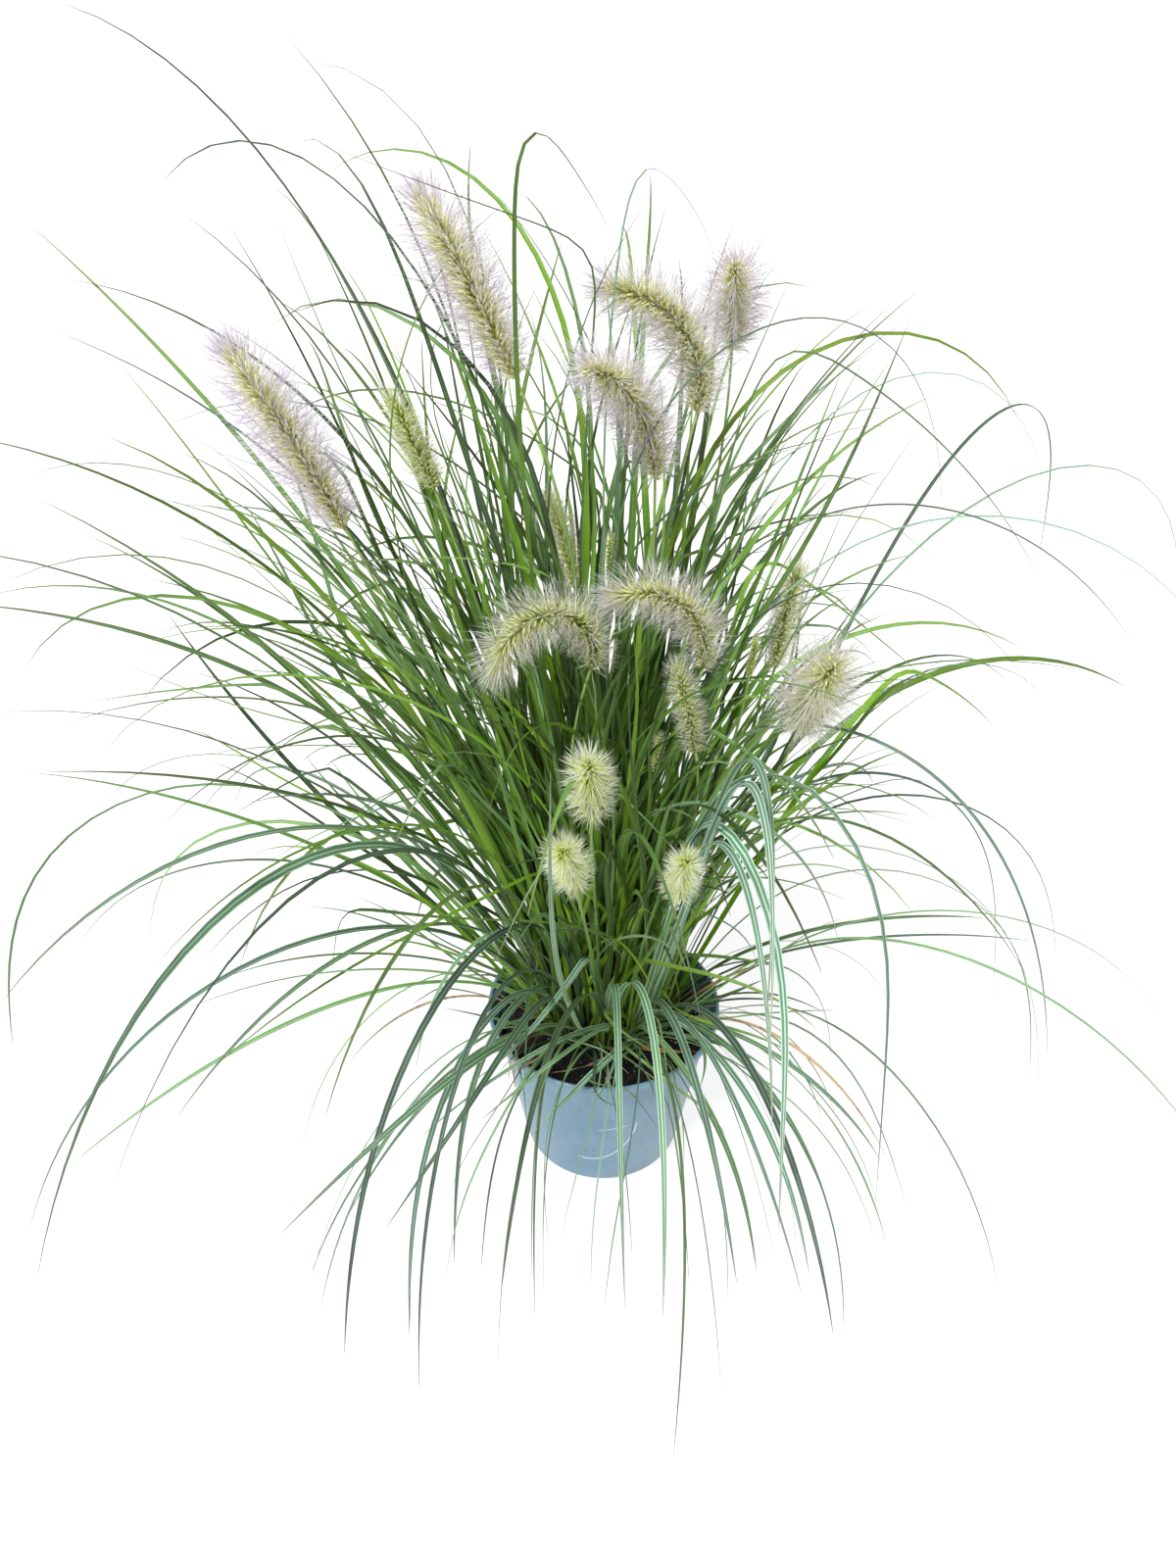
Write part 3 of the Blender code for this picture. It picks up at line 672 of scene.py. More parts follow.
def bristle_material():
    return spike_material(
        "bristle",
        young=((0, 0.62, 0.72, 0.14), (0.35, 0.88, 0.94, 0.42), (0.7, 0.9, 0.94, 0.66),
               (1, 0.8, 0.85, 0.7)),
        old=((0, 0.97, 0.96, 0.56), (0.33, 0.98, 0.96, 0.78), (0.48, 0.8, 0.67, 0.8),
             (0.72, 0.8, 0.76, 0.89), (1, 0.94, 0.93, 0.98)),
        light=(1, 1, 0.98), chance=(0.56, 0.6, 0, 0.95), roughness=0.5, glow=0.74,
    ).material


def spikelet_material():
    graph = spike_material(
        "spikelet",
        young=((0, 0.2, 0.33, 0.03), (0.35, 0.58, 0.7, 0.12), (1, 0.86, 0.9, 0.34)),
        old=((0, 0.16, 0.18, 0.02), (0.18, 0.92, 0.91, 0.32), (0.6, 1, 0.99, 0.56),
             (1, 1, 0.99, 0.78)),
        light=(0.42, 0.46, 0.12), chance=(0, 1, 0, 0.25), roughness=0.6, glow=0.3,
    )
    graph.bump(graph.noise(graph.place(), 2600, 1), 0.4, 0.0003)
    return graph.material


def culm_material():
    """Marks: unused, and along the stem 0..1."""
    graph = Graph("culm")
    _, along, _, _ = graph.marks()
    colour = graph.ramp(
        along, (0, 0.16, 0.2, 0.05), (0.1, 0.08, 0.19, 0.022), (0.8, 0.12, 0.25, 0.04),
        (1, 0.26, 0.36, 0.1),
    )
    streaks = graph.noise(graph.stretched(900, 900, 8), 1, 1)
    colour = graph.mix(graph.fit(streaks, 0.4, 0.7, 0, 0.4), colour, (0.24, 0.36, 0.12))
    graph.surface(colour, 0.42)
    graph.bump(streaks, 0.3, 0.0002)
    return graph.material


def pot_material():
    """Pale blue-grey plastic, faintly streaked, with thin white lines on its front."""
    graph = Graph("pot_plastic")
    place = graph.place()
    x, y, z = graph.split(place)
    clouds = graph.noise(place, 14)
    streaks = graph.noise(graph.stretched(1, 1, 0.12), 160, 2)
    colour = graph.mix(graph.fit(clouds, 0.35, 0.65), (0.088, 0.195, 0.285), (0.138, 0.25, 0.335))
    colour = graph.mix(graph.fit(streaks, 0.45, 0.75, 0, 0.35), colour, (0.2, 0.31, 0.385))
    grime = graph.times(graph.fit(z, 0, 0.02, 1, 0), graph.fit(clouds, 0.4, 0.6))
    colour = graph.mix(graph.times(grime, 0.35), colour, (0.16, 0.19, 0.2))
    specks = graph.fit(graph.noise(place, 300, 0), 0.8, 0.81)
    colour = graph.mix(graph.times(specks, 0.7), colour, (0.05, 0.06, 0.07))
    colour = graph.mix(pot_white_lines(graph, x, y, z), colour, (0.8, 0.86, 0.9))
    rough = graph.fit(streaks, 0.3, 0.7, 0.3, 0.42)
    graph.surface(colour, rough, {"Coat Weight": 0.15, "Coat Roughness": 0.25})
    graph.bump(graph.noise(place, 900, 2), 0.06, 0.0005)
    return graph.material


# A long thin white curved line on the pot's front: the middle of an oval, by distance round the
# wall and height, its half width and half height, and the half width of the line.
CURVED_LINE_MIDDLE = (-0.014, 0.086)
CURVED_LINE_SIZE = (0.04, 0.052)
CURVED_LINE_HALF_WIDTH = 0.00028
SHORT_LINE = (-0.006, 0.02, 0.078, 0.2)  # from, to, height and slope of a short straight one
SHORT_LINE_FADE = 0.003  # over which the short one fades at each end
WALL_RADIUS = 0.078  # about half way up


def pot_white_lines(graph, x, y, z):
    """White where a thin line lies on the front of the pot."""
    turn = graph.math("ARCTAN2", x, graph.times(y, -1))
    around = graph.times(turn, WALL_RADIUS)
    side, rise = (
        graph.math("DIVIDE", graph.math("SUBTRACT", place, middle), size)
        for place, middle, size in zip((around, z), CURVED_LINE_MIDDLE, CURVED_LINE_SIZE)
    )
    squares = graph.math("ADD", graph.times(side, side), graph.times(rise, rise))
    off = graph.math("ABSOLUTE", graph.math("SUBTRACT", graph.math("SQRT", squares), 1))
    half = CURVED_LINE_HALF_WIDTH / CURVED_LINE_SIZE[0]
    line = graph.fit(off, half * 0.6, half * 1.6, 1, 0)
    lower_right = graph.times(graph.fit(rise, -0.1, 0, 1, 0), graph.fit(side, -0.25, -0.15))
    line = graph.times(line, lower_right)

    start, end, height, slope = SHORT_LINE
    sloping = graph.times(graph.math("SUBTRACT", around, start), slope)
    off = graph.math("SUBTRACT", z, graph.math("ADD", sloping, height))
    short = graph.fit(graph.math("ABSOLUTE", off), 0.0002, 0.0006, 0.6, 0)
    inside = graph.times(graph.fit(around, start, start + SHORT_LINE_FADE),
                         graph.fit(around, end - SHORT_LINE_FADE, end, 1, 0))
    front = graph.fit(y, -0.01, 0, 1, 0)
    return graph.times(graph.math("MAXIMUM", line, graph.times(short, inside)), front)


def soil_material():
    """Marks: the fourth is chance by crumb. The solid has no marks and is all dark."""
    graph = Graph("peat")
    _, _, _, vary = graph.marks()
    place = graph.place()
    colour = graph.ramp(
        graph.noise(place, 260, 5), (0.35, 0.002, 0.002, 0.002), (0.6, 0.006, 0.005, 0.005),
        (0.8, 0.034, 0.026, 0.02),
    )
    colour = graph.mix(graph.fit(vary, 0.84, 0.9, 0, 0.85), colour, (0.075, 0.048, 0.028))
    colour = graph.mix(graph.fit(vary, 0.955, 0.965, 0, 0.9), colour, (0.5, 0.44, 0.36))
    graph.surface(colour, 0.92)
    graph.bump(graph.noise(place, 1500, 4), 0.8, 0.0008)
    return graph.material


def floor_material():
    """Pale, and bright enough to leave only a faint shadow."""
    graph = Graph("studio_floor")
    graph.surface((0.3, 0.3, 0.3, 1), 0.9, {
        "Specular IOR Level": 0, "Emission Color": (1, 1, 1, 1), "Emission Strength": 0.75,
    })
    return graph.material


# --- leaves ---
FRONT_VIEW = np.array([0, -0.84, 0.54])  # from the clump towards the side it is seen from
SMALL_SPIKE = 0.008  # a spike of this radius or less is still a thin bud
SPIKE_CLEAR = 0.75  # share of a spike's radius that blades leave uncovered
KEPT_CLEAR = 0.85  # share of the blades that would cover a spike and so aren't there
THIN_RIGHT, THIN_FRONT = 0.21, -0.16  # x and y beyond which the clump is thin
KEPT_THIN = 0.9  # share of the finer blades that would reach there and so aren't there
TRIES = 12  # for a blade of chance that doesn't fit, each less wide spread than the last
POT_GAP, FLOOR_GAP, BOX_GAP = 0.003, 0.006, 0.001

EDGE_FOLD = 0.34  # height of a blade's edges over its middle, as a share of its half width
THICKNESS = 0.15
SHARP_FOLD = 60  # degrees between faces that don't shade smoothly into each other
SECTION_ACROSS = np.array([1, 0, -1, -0.5, 0, 0.5])
FOLD_SHARES = np.array([1, 0, 1, 0.5, 0, 0.5])
THICK_SHARES = np.array([0, 0, 0, 0.8, 1.5, 0.8])


def spike_middles():
    """Places along each large spike's axis, each with the radius that blades leave uncovered."""
    return np.array([
        np.append(point, SPIKE_CLEAR * row[7])
        for row in STEMS.values() if row[7] > SMALL_SPIKE
        for point in spike_axis(row, SPIKE_MARKS[4::8])[0]
    ])


SPIKE_MIDDLES = spike_middles()


def blade_widths(along, half_width):
    """A blade comes out of its sheath narrow, is widest low down, and ends in a long fine point."""
    opening = np.minimum(1, 0.62 + 2.6 * along)
    return half_width * opening * (1.0 - 0.95 * along**4.0)


def add_blade(shape, row, foot, steps, half_width, twist, tone, vary, bend=EVEN):
    """One blade, as a closed folded ribbon. Twist is the degrees that it is turned about its own
    length at its foot and at its tip."""
    points, ways, sides = blade_path(row, foot, steps, bend)
    ups = np.cross(ways, sides)
    along = np.linspace(0, 1, steps + 1)
    turn = np.radians(twist[0] + (twist[1] - twist[0]) * along**1.3)[:, None]
    across_way = sides * np.cos(turn) + ups * np.sin(turn)
    up_way = ups * np.cos(turn) - sides * np.sin(turn)
    widths = blade_widths(along, half_width)
    fold = EDGE_FOLD * (1 + 1.2 * np.exp(-along * 9))
    heights = fold[:, None] * FOLD_SHARES - THICKNESS * THICK_SHARES
    rings = (
        points[:, None]
        + across_way[:, None] * (SECTION_ACROSS * widths[:, None])[..., None]
        + up_way[:, None] * (heights * widths[:, None])[..., None]
    )
    marks = marked((1, *rings.shape[:2]), SECTION_ACROSS, along[:, None], tone, vary)
    shape.add_tubes(rings[None], marks)


def shows_spikes(points):
    """False for a blade that would cover a flower spike seen from the front."""
    gaps = points[:, None] - SPIKE_MIDDLES[None, :, :3]
    ahead = gaps @ FRONT_VIEW
    aside = np.linalg.norm(gaps - ahead[..., None] * FRONT_VIEW, axis=-1)
    return not ((ahead > 0) & (aside < SPIKE_MIDDLES[None, :, 3])).any()


def clear_of_pot(points):
    """True if a blade goes over the rim and not through the wall, and stays off the floor."""
    reach = np.hypot(points[:, 0], points[:, 1])
    low = points[:, 2] < POT_HEIGHT + POT_GAP
    in_wall = low & (reach > SOIL_RADIUS - 2 * POT_GAP) & (reach < RIM_RADIUS + POT_GAP)
    return not in_wall.any() and points[:, 2].min() > FLOOR_GAP


def inside_box(points):
    low, high = np.array(CAD_BOX)
    return (points > low + BOX_GAP).all() and (points < high - BOX_GAP).all()


def cousin_row(row, rng):
    """A blade like the row's, a little turned, shorter and otherwise bent."""
    azimuth, lean, droop, length, stiffness, sweep = row
    return (
        azimuth + rng.normal(0, COUSIN_TURN),
        lean * rng.uniform(0.6, 1.1) + rng.normal(0, COUSIN_LEAN),
        droop * rng.uniform(0.55, 1.15), length * rng.uniform(0.6, 1),
        stiffness * rng.uniform(0.75, 1.25), sweep + rng.normal(0, COUSIN_SWEEP),
    )


def chance_wave(rng, wander):
    return rng.normal(0, wander), rng.uniform(0, 2 * math.pi)


def chance_bend(rng, wander):
    wave = chance_wave(rng, wander)
    if rng.uniform(0, 1) > KINKED:
        return (*UNFOLDED, *wave)
    return (rng.uniform(*KINK_PLACE), rng.uniform(*KINK_FALL), *wave)


def chance_twist(rng, spreads):
    return [rng.normal(0, spread) for spread in spreads]


def chance_tone(rng, tone, spread):
    return float(np.clip(tone + rng.normal(0, spread), 0, 1))


def add_chance_blade(shape, row, foot, rng, kind, tone, anywhere=False):
    """Adds a blade of chance width and bends. If it doesn't fit it is made less and less wide
    spread, and in the end left out."""
    size, wander = kind
    width = BLADE_HALF_WIDTH * rng.uniform(*size)
    twist = chance_twist(rng, FINE_TWIST)
    vary, bend = rng.uniform(0, 1), chance_bend(rng, wander)
    may_cover = rng.uniform(0, 1) > KEPT_CLEAR
    may_spread = anywhere or rng.uniform(0, 1) > KEPT_THIN
    for _ in range(TRIES):
        points = blade_path(row, foot, COUSIN_STEPS, bend)[0]
        near = points[:, 0].max() < THIN_RIGHT and points[:, 1].min() > THIN_FRONT
        if (clear_of_pot(points) and inside_box(points) and (near or may_spread)
                and (may_cover or shows_spikes(points))):
            add_blade(shape, row, foot, COUSIN_STEPS, width, twist, tone, vary, bend)
            return
        row = (row[0] + 5, row[1] * 0.95, row[2] * 0.94, row[3] * 0.94, row[4], row[5])


def upright_blades():
    """Feet and rows of the dense middle's blades, by chance over the whole crown."""
    rng = np.random.default_rng(SEEDS["upright"])
    blades = []
    for _ in range(UPRIGHT_COUNT):
        turn = rng.uniform(0, 2 * math.pi)
        out = math.sqrt(rng.uniform(0, 1))
        foot = on_crown(math.degrees(turn), out * CROWN_RADIUS)
        lean_x = UPRIGHT_FAN * out * math.cos(turn) + UPRIGHT_SIDE + rng.normal(0, UPRIGHT_LOOSE)
        lean_y = UPRIGHT_FAN * out * math.sin(turn) + rng.normal(0, UPRIGHT_LOOSE)
        row = (
            math.degrees(math.atan2(lean_y, lean_x)), math.hypot(lean_x, lean_y),
            rng.uniform(*UPRIGHT_DROOP) + MORE_DROOP * (rng.uniform(0, 1) < UPRIGHT_BENT),
            rng.uniform(*UPRIGHT_LENGTH), rng.uniform(*UPRIGHT_STIFFNESS),
            rng.normal(0, UPRIGHT_SWEEP),
        )
        blades.append((foot, row))
    return blades


def edge_blades(count, seed, all_round, front, nearest, turn, ranges, sweep):
    """Feet and rows of blades at the edge of the crown: all_round is the share of them that
    stand at any azimuth, front is the middle and spread of the others' azimuths, and ranges are
    those of their lean, droop, length and stiffness."""
    rng = np.random.default_rng(seed)
    blades = []
    for _ in range(count):
        anywhere = all_round and rng.uniform(0, 1) < all_round
        azimuth = rng.uniform(0, 360) if anywhere else rng.normal(*front)
        foot = on_crown(azimuth, CROWN_RADIUS * rng.uniform(nearest, 1.04))
        row = (
            azimuth + rng.normal(0, turn), *[rng.uniform(*limits) for limits in ranges],
            rng.normal(0, sweep),
        )
        blades.append((foot, row))
    return blades


def nearest_shoot(foot, feet):
    """The name of the shoot that a blade with this foot grows from."""
    return min(feet, key=lambda name: np.linalg.norm(feet[name] - foot))


def leaf_bunch(name, shoot, others, seed, material):
    """All the leaves of one shoot, in place of its solid."""
    azimuth, reach, tone, width, cousins, rows = shoot
    rng = np.random.default_rng(seed)
    shape = Shape()
    foot = on_crown(azimuth, reach)
    for row in rows:
        twist = chance_twist(rng, MAIN_TWIST)
        own_tone = chance_tone(rng, tone, MAIN_TONE)
        bend = (*UNFOLDED, *chance_wave(rng, MAIN_WANDER))
        half_width = BLADE_HALF_WIDTH * width * rng.uniform(*MAIN_SIZE)
        vary = rng.uniform(0, 1)
        add_blade(shape, row, foot, MAIN_STEPS, half_width, twist, own_tone, vary, bend)
        for _ in range(cousins):
            turn = rng.uniform(0, 2 * math.pi)
            apart = COUSIN_SPREAD * math.sqrt(rng.uniform(0, 1))
            own_foot = foot + np.array([apart * math.cos(turn), apart * math.sin(turn), -0.001])
            own_tone = chance_tone(rng, tone, COUSIN_TONE)
            add_chance_blade(shape, cousin_row(row, rng), own_foot, rng, COUSIN, own_tone)
    uprights, basal, skirt = others
    for own_foot, row in uprights:
        add_chance_blade(shape, row, own_foot, rng, UPRIGHT, rng.beta(1, 3.4))
    for own_foot, row in basal:
        add_chance_blade(shape, row, own_foot, rng, BASAL, rng.uniform(0.3, 1))
    for own_foot, row in skirt:
        add_chance_blade(shape, row, own_foot, rng, SKIRT, rng.uniform(0.6, 1), True)
    for turn, out, half_width, own_tone, shade, row, *fold in ACCENTS.get(name, ()):
        add_blade(
            shape, row, on_crown(turn, out), 2 * MAIN_STEPS, half_width, ACCENT_TWIST, own_tone,
            shade, (*(fold or UNFOLDED), 0, 0),
        )
    shape.build(f"leaves_{name}", material, "leaf", f"shoot_{name}", SHARP_FOLD)


def inner_rows(number, azimuth, lean):
    """The blades of an inner shoot, fanned about its azimuth, each a little unlike the last."""
    rows = []
    for blade in range(INNER_BLADES):
        share = blade / (INNER_BLADES - 1) - 0.5
        odd = (number + blade) % 3 - 1
        rows.append((
            azimuth + INNER_FAN * share, lean + 5 * odd, INNER_DROOP + 3 * lean + 30 * odd,
            INNER_LENGTH - 0.03 * odd - 0.0025 * lean, 2.6 + 0.4 * odd, 12 * share,
        ))
    return rows


def make_leaves():
    material = leaf_material()
    shoots = dict(SHOOTS)
    for number, (azimuth, reach, lean, cousins) in enumerate(INNER_SHOOTS):
        rows = inner_rows(number, azimuth, lean)
        looks = LOW_LOOKS if lean > FAR_OUT else INNER_LOOKS
        shoots[f"inner_{number + 1:02d}"] = (azimuth, reach, *looks, cousins, rows)
    feet = {name: on_crown(*shoot[:2]) for name, shoot in shoots.items()}
    others = {name: ([], [], []) for name in shoots}
    kinds = (upright_blades(), edge_blades(**BASAL_BLADES), edge_blades(**SKIRT_BLADES))
    for kind, blades in enumerate(kinds):
        for foot, row in blades:
            others[nearest_shoot(foot, feet)][kind].append((foot, row))
    for number, (name, shoot) in enumerate(shoots.items()):
        leaf_bunch(name, shoot, others[name], SEEDS["leaves"] + number, material)


def make_dead_leaves():
    """Straw-coloured and rusty leaves low in the clump, one piece for each shoot that has them."""
    material = dry_material()
    rng = np.random.default_rng(SEEDS["dead leaves"])
    for name, leaves in DEAD_LEAVES.items():
        shape = Shape()
        for turn, out, half_width, rust, row in leaves:
            twist = chance_twist(rng, DEAD_TWIST)
            add_blade(shape, row, on_crown(turn, out), COUSIN_STEPS, half_width, twist, rust, 0.5)
        shape.build(f"dead_leaves_{name}", material, "leaf", f"shoot_{name}", SHARP_FOLD)


# --- flower spikes ---
SPIKELET_PITCH = 0.00043  # along the axis, from one spikelet to the next
SPIKELET_LENGTH = 0.0122
SPIKELET_RADIUS = 0.00088
SPIKELET_STOPS = (0, 0.3, 0.65)  # shares of its length where a spikelet has a ring
SPIKELET_TILT = (58, 46)  # degrees from the axis, and by how many fewer it stands at the tip
GOLDEN_ANGLE = math.pi * (3 - math.sqrt(5))
CORE_END = 0.9  # share of a spike's length where its spikelets end and only bristles go on
CLOSING_FROM, CLOSING_OVER = 0.7, 0.2  # shares where all turns in towards the tip
AXIS_STEPS, AXIS_SURFACE, AXIS_TIP = 25, 0.0006, 0.0004  # radii of the axis inside a spike
BRISTLES_EACH, YOUNG_BRISTLES_EACH = 6, 4  # about one spikelet
YOUNG = 0.08  # ripeness below which a spike has fewer
BRISTLE_RADIUS, FINE_BRISTLE_RADIUS = 0.00018, 0.00012
BRISTLE_STOPS = (0, 0.36, 0.72)
BRISTLE_TILT = (78, 56)


def profile(shares):
    """How far the bristles reach along a spike, as a share of its radius."""
    return 0.3 + 0.7 * np.sin(math.pi * (0.12 + 0.76 * shares))


def core_profile(shares):
    """How long the spikelets are along a spike, as a share of the longest."""
    return np.interp(shares, [0, 0.12, 0.4, 0.8, 1], [0.62, 0.85, 1, 0.85, 0.55])


def add_curved_needles(shape, starts, ways, bends, lengths, stops, radii, sides_count, ripe, vary):
    """Needles that leave along ways and bend by bends over their length."""
    stops, reaches = np.array(stops), lengths[:, None, None]
    shares = stops[:, None]
    places = starts[:, None] + reaches * (ways[:, None] * shares + bends[:, None] * shares**2)
    directions = unit(ways[:, None] + 2 * bends[:, None] * shares)
    tips = starts + lengths[:, None] * (ways + bends)
    rings = tube_rings(places, *cross_ways(directions), radii, sides_count)
    marks = marked(rings.shape[:3], 0, shares, ripe, vary[:, None, None])
    shape.add_needles(rings, tips, marks, marked(vary.shape, 0, 1, ripe, vary))


def make_spike(letter, row, number, bristle, spikelet):
    """One flower spike in place of its solid: axis and spikelets, and the bristles about them."""
    length, radius, ripe = row[6:]
    rng = np.random.default_rng(SEEDS["spikes"] + number)
    body, hair = Shape(), Shape()

    count = int(length / SPIKELET_PITCH)
    shares = (np.arange(count) + 0.5) / count
    shares = np.clip(shares + rng.normal(0, 0.3 / count, count), 0.001, 0.999) * CORE_END
    places, ways, sides, ups = spike_axis(row, shares)
    turn = np.arange(count) * GOLDEN_ANGLE + rng.normal(0, 0.15, count)
    outs = sides * np.cos(turn)[:, None] + ups * np.sin(turn)[:, None]
    closing = np.clip((shares - CLOSING_FROM) / CLOSING_OVER, 0, 1)
    tilt = np.radians(SPIKELET_TILT[0] - SPIKELET_TILT[1] * closing + rng.normal(0, 5, count))
    leaning = unit(ways * np.cos(tilt)[:, None] + outs * np.sin(tilt)[:, None])
    reach = radius * profile(shares)
    longest = min(SPIKELET_LENGTH, 0.52 * radius)
    grain = longest * core_profile(shares) * rng.uniform(0.85, 1.1, count)
    stalk = np.minimum(0.002, 0.1 * reach)
    starts = places + outs * AXIS_SURFACE + leaning * stalk[:, None] * 0.5
    swell = np.interp(SPIKELET_STOPS, [0, 0.3, 0.6, 1], [0.45, 1, 0.9, 0.2])
    add_curved_needles(
        body, starts, leaning, outs * 0.02, grain, SPIKELET_STOPS, SPIKELET_RADIUS * swell, 4,
        ripe, rng.uniform(0, 1, count),
    )
    along = np.linspace(0, 0.985, AXIS_STEPS)
    radii = np.interp(along, [0, 1], [CULM_RADIUS, AXIS_TIP])
    points, _, *across = spike_axis(row, along)
    rings = tube_rings(points, *across, radii, 6)[None]
    body.add_tubes(rings, marked(rings.shape[:3], 0, 0.1, ripe))

    small = radius < SMALL_SPIKE
    each = YOUNG_BRISTLES_EACH if small or ripe < YOUNG else BRISTLES_EACH
    owner = np.repeat(np.arange(count), each)
    total = len(owner)
    ways, outs = ways[owner], outs[owner]
    slant = BRISTLE_TILT[0] - BRISTLE_TILT[1] * closing[owner] + rng.normal(0, 13, total)
    slant = np.radians(slant)
    aim = ways * np.cos(slant)[:, None] + outs * np.sin(slant)[:, None]
    aim = unit(aim + rng.normal(0, 0.2, (total, 3)))
    radial = np.maximum(0.4, (aim * outs).sum(1))
    full = (reach[owner] / radial) * (0.58 + 0.92 * rng.uniform(0, 1, total) ** 0.7)
    full = np.minimum(full, radius * (1.05 + 0.4 * ripe))
    full = np.minimum(full, (1 - shares[owner]) * length + rng.uniform(0.003, 0.01, total))
    bends = ways * rng.normal(0.08, 0.08, total)[:, None] + rng.normal(0, 0.05, (total, 3))
    feet = starts[owner] + rng.uniform(0, 1, total)[:, None] * ways * 0.003
    thick = FINE_BRISTLE_RADIUS if small else BRISTLE_RADIUS
    add_curved_needles(
        hair, feet, aim, bends, full, BRISTLE_STOPS, thick * (1 - 0.3 * np.array(BRISTLE_STOPS)),
        3, ripe, rng.uniform(0, 1, total),
    )
    for shape, name, material in ((body, "spikelets", spikelet), (hair, "bristles", bristle)):
        shape.build(f"{name}_{letter}", material, "spike", f"spike_{letter}")


def make_spikes():
    bristle, spikelet = bristle_material(), spikelet_material()
    for number, (letter, row) in enumerate(STEMS.items()):
        make_spike(letter, row, number, bristle, spikelet)


# --- culms ---
CULM_FINE = 36
CULM_KNOTS = (0.22, 0.52)  # shares of the stem where its knots are
KNOT_HEIGHT = 0.0006
KNOT_SHARE = 0.012  # share of the stem's length that a knot takes up


def culm_path(row):
    """A stem rises from the crown and ends just under its spike, in line with it."""
    azimuth, reach, height, towards, lean = row[:5]
    root = on_crown(azimuth, min(CULM_OUTERMOST, CULM_INNERMOST + CULM_SPREAD * reach))
    end_heading = headings(towards, lean)
    top = on_crown(azimuth, reach, height) - end_heading * GAP
    span = np.linalg.norm(top - root)
    leaving = np.array([0, 0, 1]) + (top - root) / span * CULM_UPRIGHT
    leaving *= span / np.linalg.norm(leaving)
    t = np.linspace(0, 1, CULM_FINE + 1)[:, None]
    return (
        root * (2 * t**3 - 3 * t**2 + 1) + leaving * (t**3 - 2 * t**2 + t)
        + top * (3 * t**2 - 2 * t**3) + end_heading * span * (t**3 - t**2)
    )


def make_culms():
    material = culm_material()
    along = np.linspace(0, 1, CULM_FINE + 1)
    radii = CULM_RADIUS * np.interp(along, [0, 0.5, 0.75, 1], [1.35, 1.25, 0.95, 0.85])
    for knot in CULM_KNOTS:
        radii += KNOT_HEIGHT * np.exp(-((along - knot) / KNOT_SHARE) ** 2)
    for letter, row in STEMS.items():
        points = culm_path(row)
        ways = unit(np.gradient(points, axis=0))
        rings = tube_rings(points, *cross_ways(ways), radii, 8)[None]
        shape = Shape()
        shape.add_tubes(rings, marked(rings.shape[:3], 0, along[:, None]))
        shape.build(f"stalk_{letter}", material, "culm", f"culm_{letter}")


# --- pot and soil ---
def outer_radius(height):
    top = RIM_RADIUS - LIP_WIDTH - sum(step for _, step in RINGS)
    radius = BASE_RADIUS + (top - BASE_RADIUS) * height / POT_HEIGHT
    return radius + sum(step for ring, step in RINGS if height > ring)


def pot_outline():
    """(radius, height) from the middle of the floor's upper side, over the lip, to the underside."""
    heights = [FOOT_CHAMFER + 0.001 * step for step in range(132)]
    for ring, _ in RINGS:
        heights += [ring - 0.0002, ring + 0.0002]
    heights = sorted(round(height, 5) for height in heights)
    outside = [(outer_radius(height), height) for height in heights]
    inside = [(radius - WALL, height) for radius, height in outside]
    lip = []
    for step in range(9):
        angle = math.radians(180 - 22.5 * step)
        across, up = LIP_ROUND * math.cos(angle), LIP_ROUND * math.sin(angle)
        lip.append((RIM_RADIUS - LIP_ROUND + across, POT_HEIGHT - LIP_ROUND + up))
    skirt = [(RIM_RADIUS - 0.0002, POT_HEIGHT - LIP_DROP + 0.0004),
             (RIM_RADIUS - 0.0008, POT_HEIGHT - LIP_DROP)]
    under = [(BASE_RADIUS - 0.0005, 0.0015), (BASE_RADIUS - 0.002, 0.0003),
             (BASE_RADIUS - FOOT_CHAMFER, 0), (0, 0)]
    floor = [(0, WALL), (BASE_RADIUS - FOOT_CHAMFER - WALL, WALL),
             (BASE_RADIUS - WALL - 0.0012, 0.0025)]
    return floor + inside + lip + skirt + outside[::-1] + under


def make_pot():
    mesh = bpy.data.meshes.new("pot_plastic")
    builder = bmesh.new()
    chain = [builder.verts.new((radius, 0, height)) for radius, height in pot_outline()]
    edges = [builder.edges.new(pair) for pair in zip(chain[:-1], chain[1:])]
    bmesh.ops.spin(
        builder, geom=chain + edges, cent=(0, 0, 0), axis=(0, 0, 1), angle=2 * math.pi,
        steps=POT_SEGMENTS, use_merge=True,
    )
    bmesh.ops.remove_doubles(builder, verts=builder.verts, dist=1e-5)
    bmesh.ops.recalc_face_normals(builder, faces=builder.faces)
    builder.to_mesh(mesh)
    builder.free()
    pot = add_object("nursery_pot", mesh)
    drills = []
    for number in range(DRAIN_HOLES):
        turn = 2 * math.pi * (number + DRAIN_TURN) / DRAIN_HOLES
        bpy.ops.mesh.primitive_cylinder_add(
            vertices=32, radius=DRAIN_RADIUS, depth=6 * WALL,
            location=(DRAIN_CIRCLE * math.cos(turn), DRAIN_CIRCLE * math.sin(turn), 0),
        )
        drills.append(bpy.context.object)
        cut = pot.modifiers.new("drain", "BOOLEAN")
        cut.operation, cut.object = "DIFFERENCE", drills[-1]
    graph = bpy.context.evaluated_depsgraph_get()
    pot.data = bpy.data.meshes.new_from_object(pot.evaluated_get(graph))
    pot.modifiers.clear()
    for drill in drills:
        bpy.data.objects.remove(drill, do_unlink=True)
    pot.data.shade_smooth()
    pot.data.set_sharp_from_angle(angle=math.radians(SHARP_EDGE))
    pot.data.materials.clear()
    pot.data.materials.append(pot_material())
    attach(pot, "root")
    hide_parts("pot")


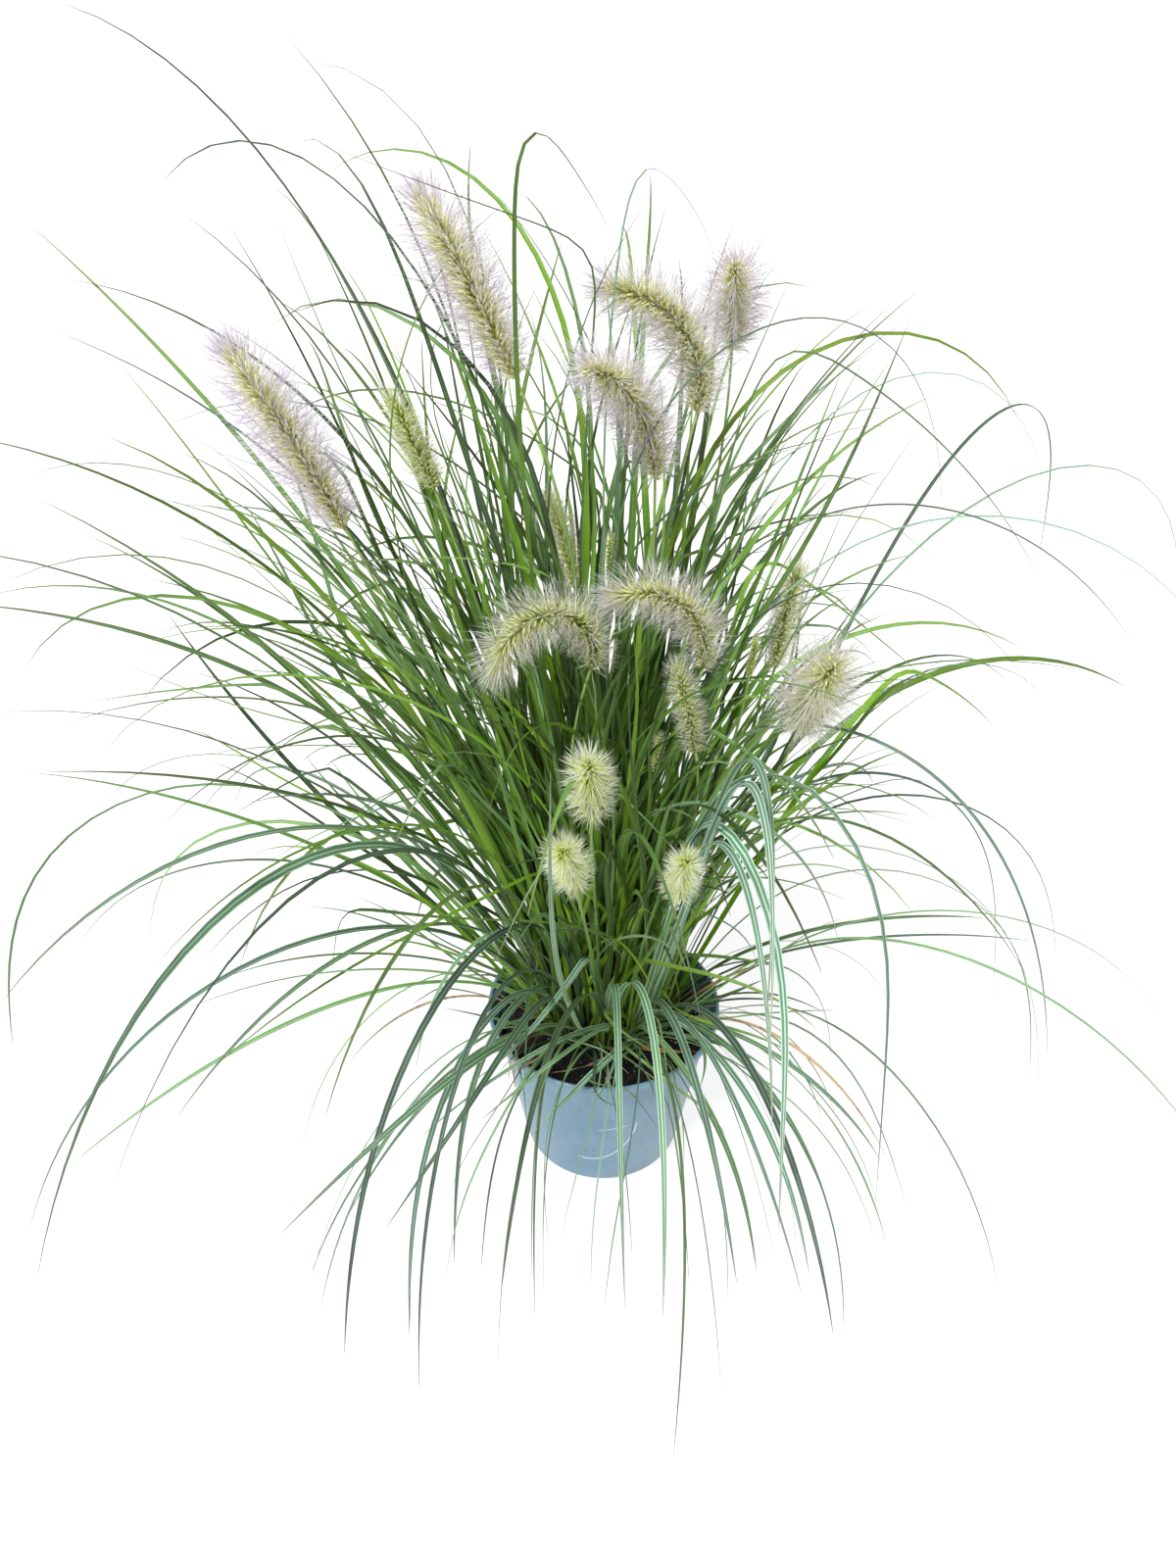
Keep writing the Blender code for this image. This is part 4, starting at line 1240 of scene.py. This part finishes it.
CRUMBS = 3200
CRUMB_SIZES = (0.0006, 0.0022)  # the least half width, and how much larger the largest is
SOIL_FLAT, SOIL_DROP = 0.074, 0.004  # where the soil stops being level, and its drop at the wall


def make_soil():
    """The peat's solid stays, under a layer of loose crumbs and fibres."""
    rng = np.random.default_rng(SEEDS["crumbs"])
    material = soil_material()
    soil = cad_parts["soil"]
    soil.data.materials.clear()
    soil.data.materials.append(material)
    ball = bmesh.new()
    bmesh.ops.create_icosphere(ball, subdivisions=1, radius=1)
    corners = np.array([vertex.co for vertex in ball.verts])
    ball.faces.ensure_lookup_table()
    faces = np.array([[vertex.index for vertex in face.verts] for face in ball.faces])
    ball.free()
    reach = (SOIL_RADIUS - 0.003) * np.sqrt(rng.uniform(0, 1, CRUMBS))
    turn = rng.uniform(0, 2 * math.pi, CRUMBS)
    sizes = CRUMB_SIZES[0] + CRUMB_SIZES[1] * rng.uniform(0, 1, CRUMBS) ** 3
    drop = np.interp(reach, [0, SOIL_FLAT, SOIL_RADIUS], [0, 0, SOIL_DROP])
    height = SOIL_LEVEL - drop + sizes * rng.uniform(-0.2, 0.7, CRUMBS)
    middles = np.stack([reach * np.cos(turn), reach * np.sin(turn), height], -1)
    lumps = corners[None] * rng.uniform(0.65, 1.25, (CRUMBS, len(corners), 1))
    stretch = rng.uniform(0.6, 1.5, (CRUMBS, 1, 3))
    points = middles[:, None] + lumps * stretch * sizes[:, None, None]
    crumbs = Shape()
    vary = rng.uniform(0, 1, CRUMBS)[:, None]
    crumbs.add(points, marked(points.shape[:2], vary=vary), faces)
    crumbs.build("soil_crumbs", material, "soil")


# --- studio ---
CAMERA_PLACE = (-0.0128, -0.702, 0.837)
CAMERA_PITCH = 55.8  # degrees from straight down
CAMERA_LENS = 27.05  # millimetres, for 36 mm of film along the taller side
WORLD_LIGHT = 0.8
KEY_LIGHT = 3.9
KEY_SPREAD = 16  # degrees, which softens its shadows
KEY_TURNS = (38, 0, -35)  # degrees


def make_studio():
    scene = bpy.context.scene
    lens = bpy.data.cameras.new("camera")
    lens.lens = CAMERA_LENS
    lens.sensor_width = 36
    lens.clip_start = 0.01
    scene.camera = add_object("camera", lens)
    scene.camera.location = CAMERA_PLACE
    scene.camera.rotation_euler = (math.radians(CAMERA_PITCH), 0, 0)

    bpy.ops.mesh.primitive_plane_add(size=400, location=(0, 0, -0.0005))
    floor = bpy.context.object
    floor.name = "floor"
    floor.data.materials.append(floor_material())

    world = bpy.data.worlds.new("studio")
    world.use_nodes = True
    colour, strength = world.node_tree.nodes["Background"].inputs[:2]
    colour.default_value = (1, 1, 1, 1)
    strength.default_value = WORLD_LIGHT
    scene.world = world

    sun = bpy.data.lights.new("key", "SUN")
    sun.energy = KEY_LIGHT
    sun.angle = math.radians(KEY_SPREAD)
    add_object("key", sun).rotation_euler = [math.radians(turn) for turn in KEY_TURNS]
    scene.view_settings.view_transform = "Standard"


make_studio()
make_pot()
make_soil()
make_culms()
make_spikes()
make_leaves()
make_dead_leaves()
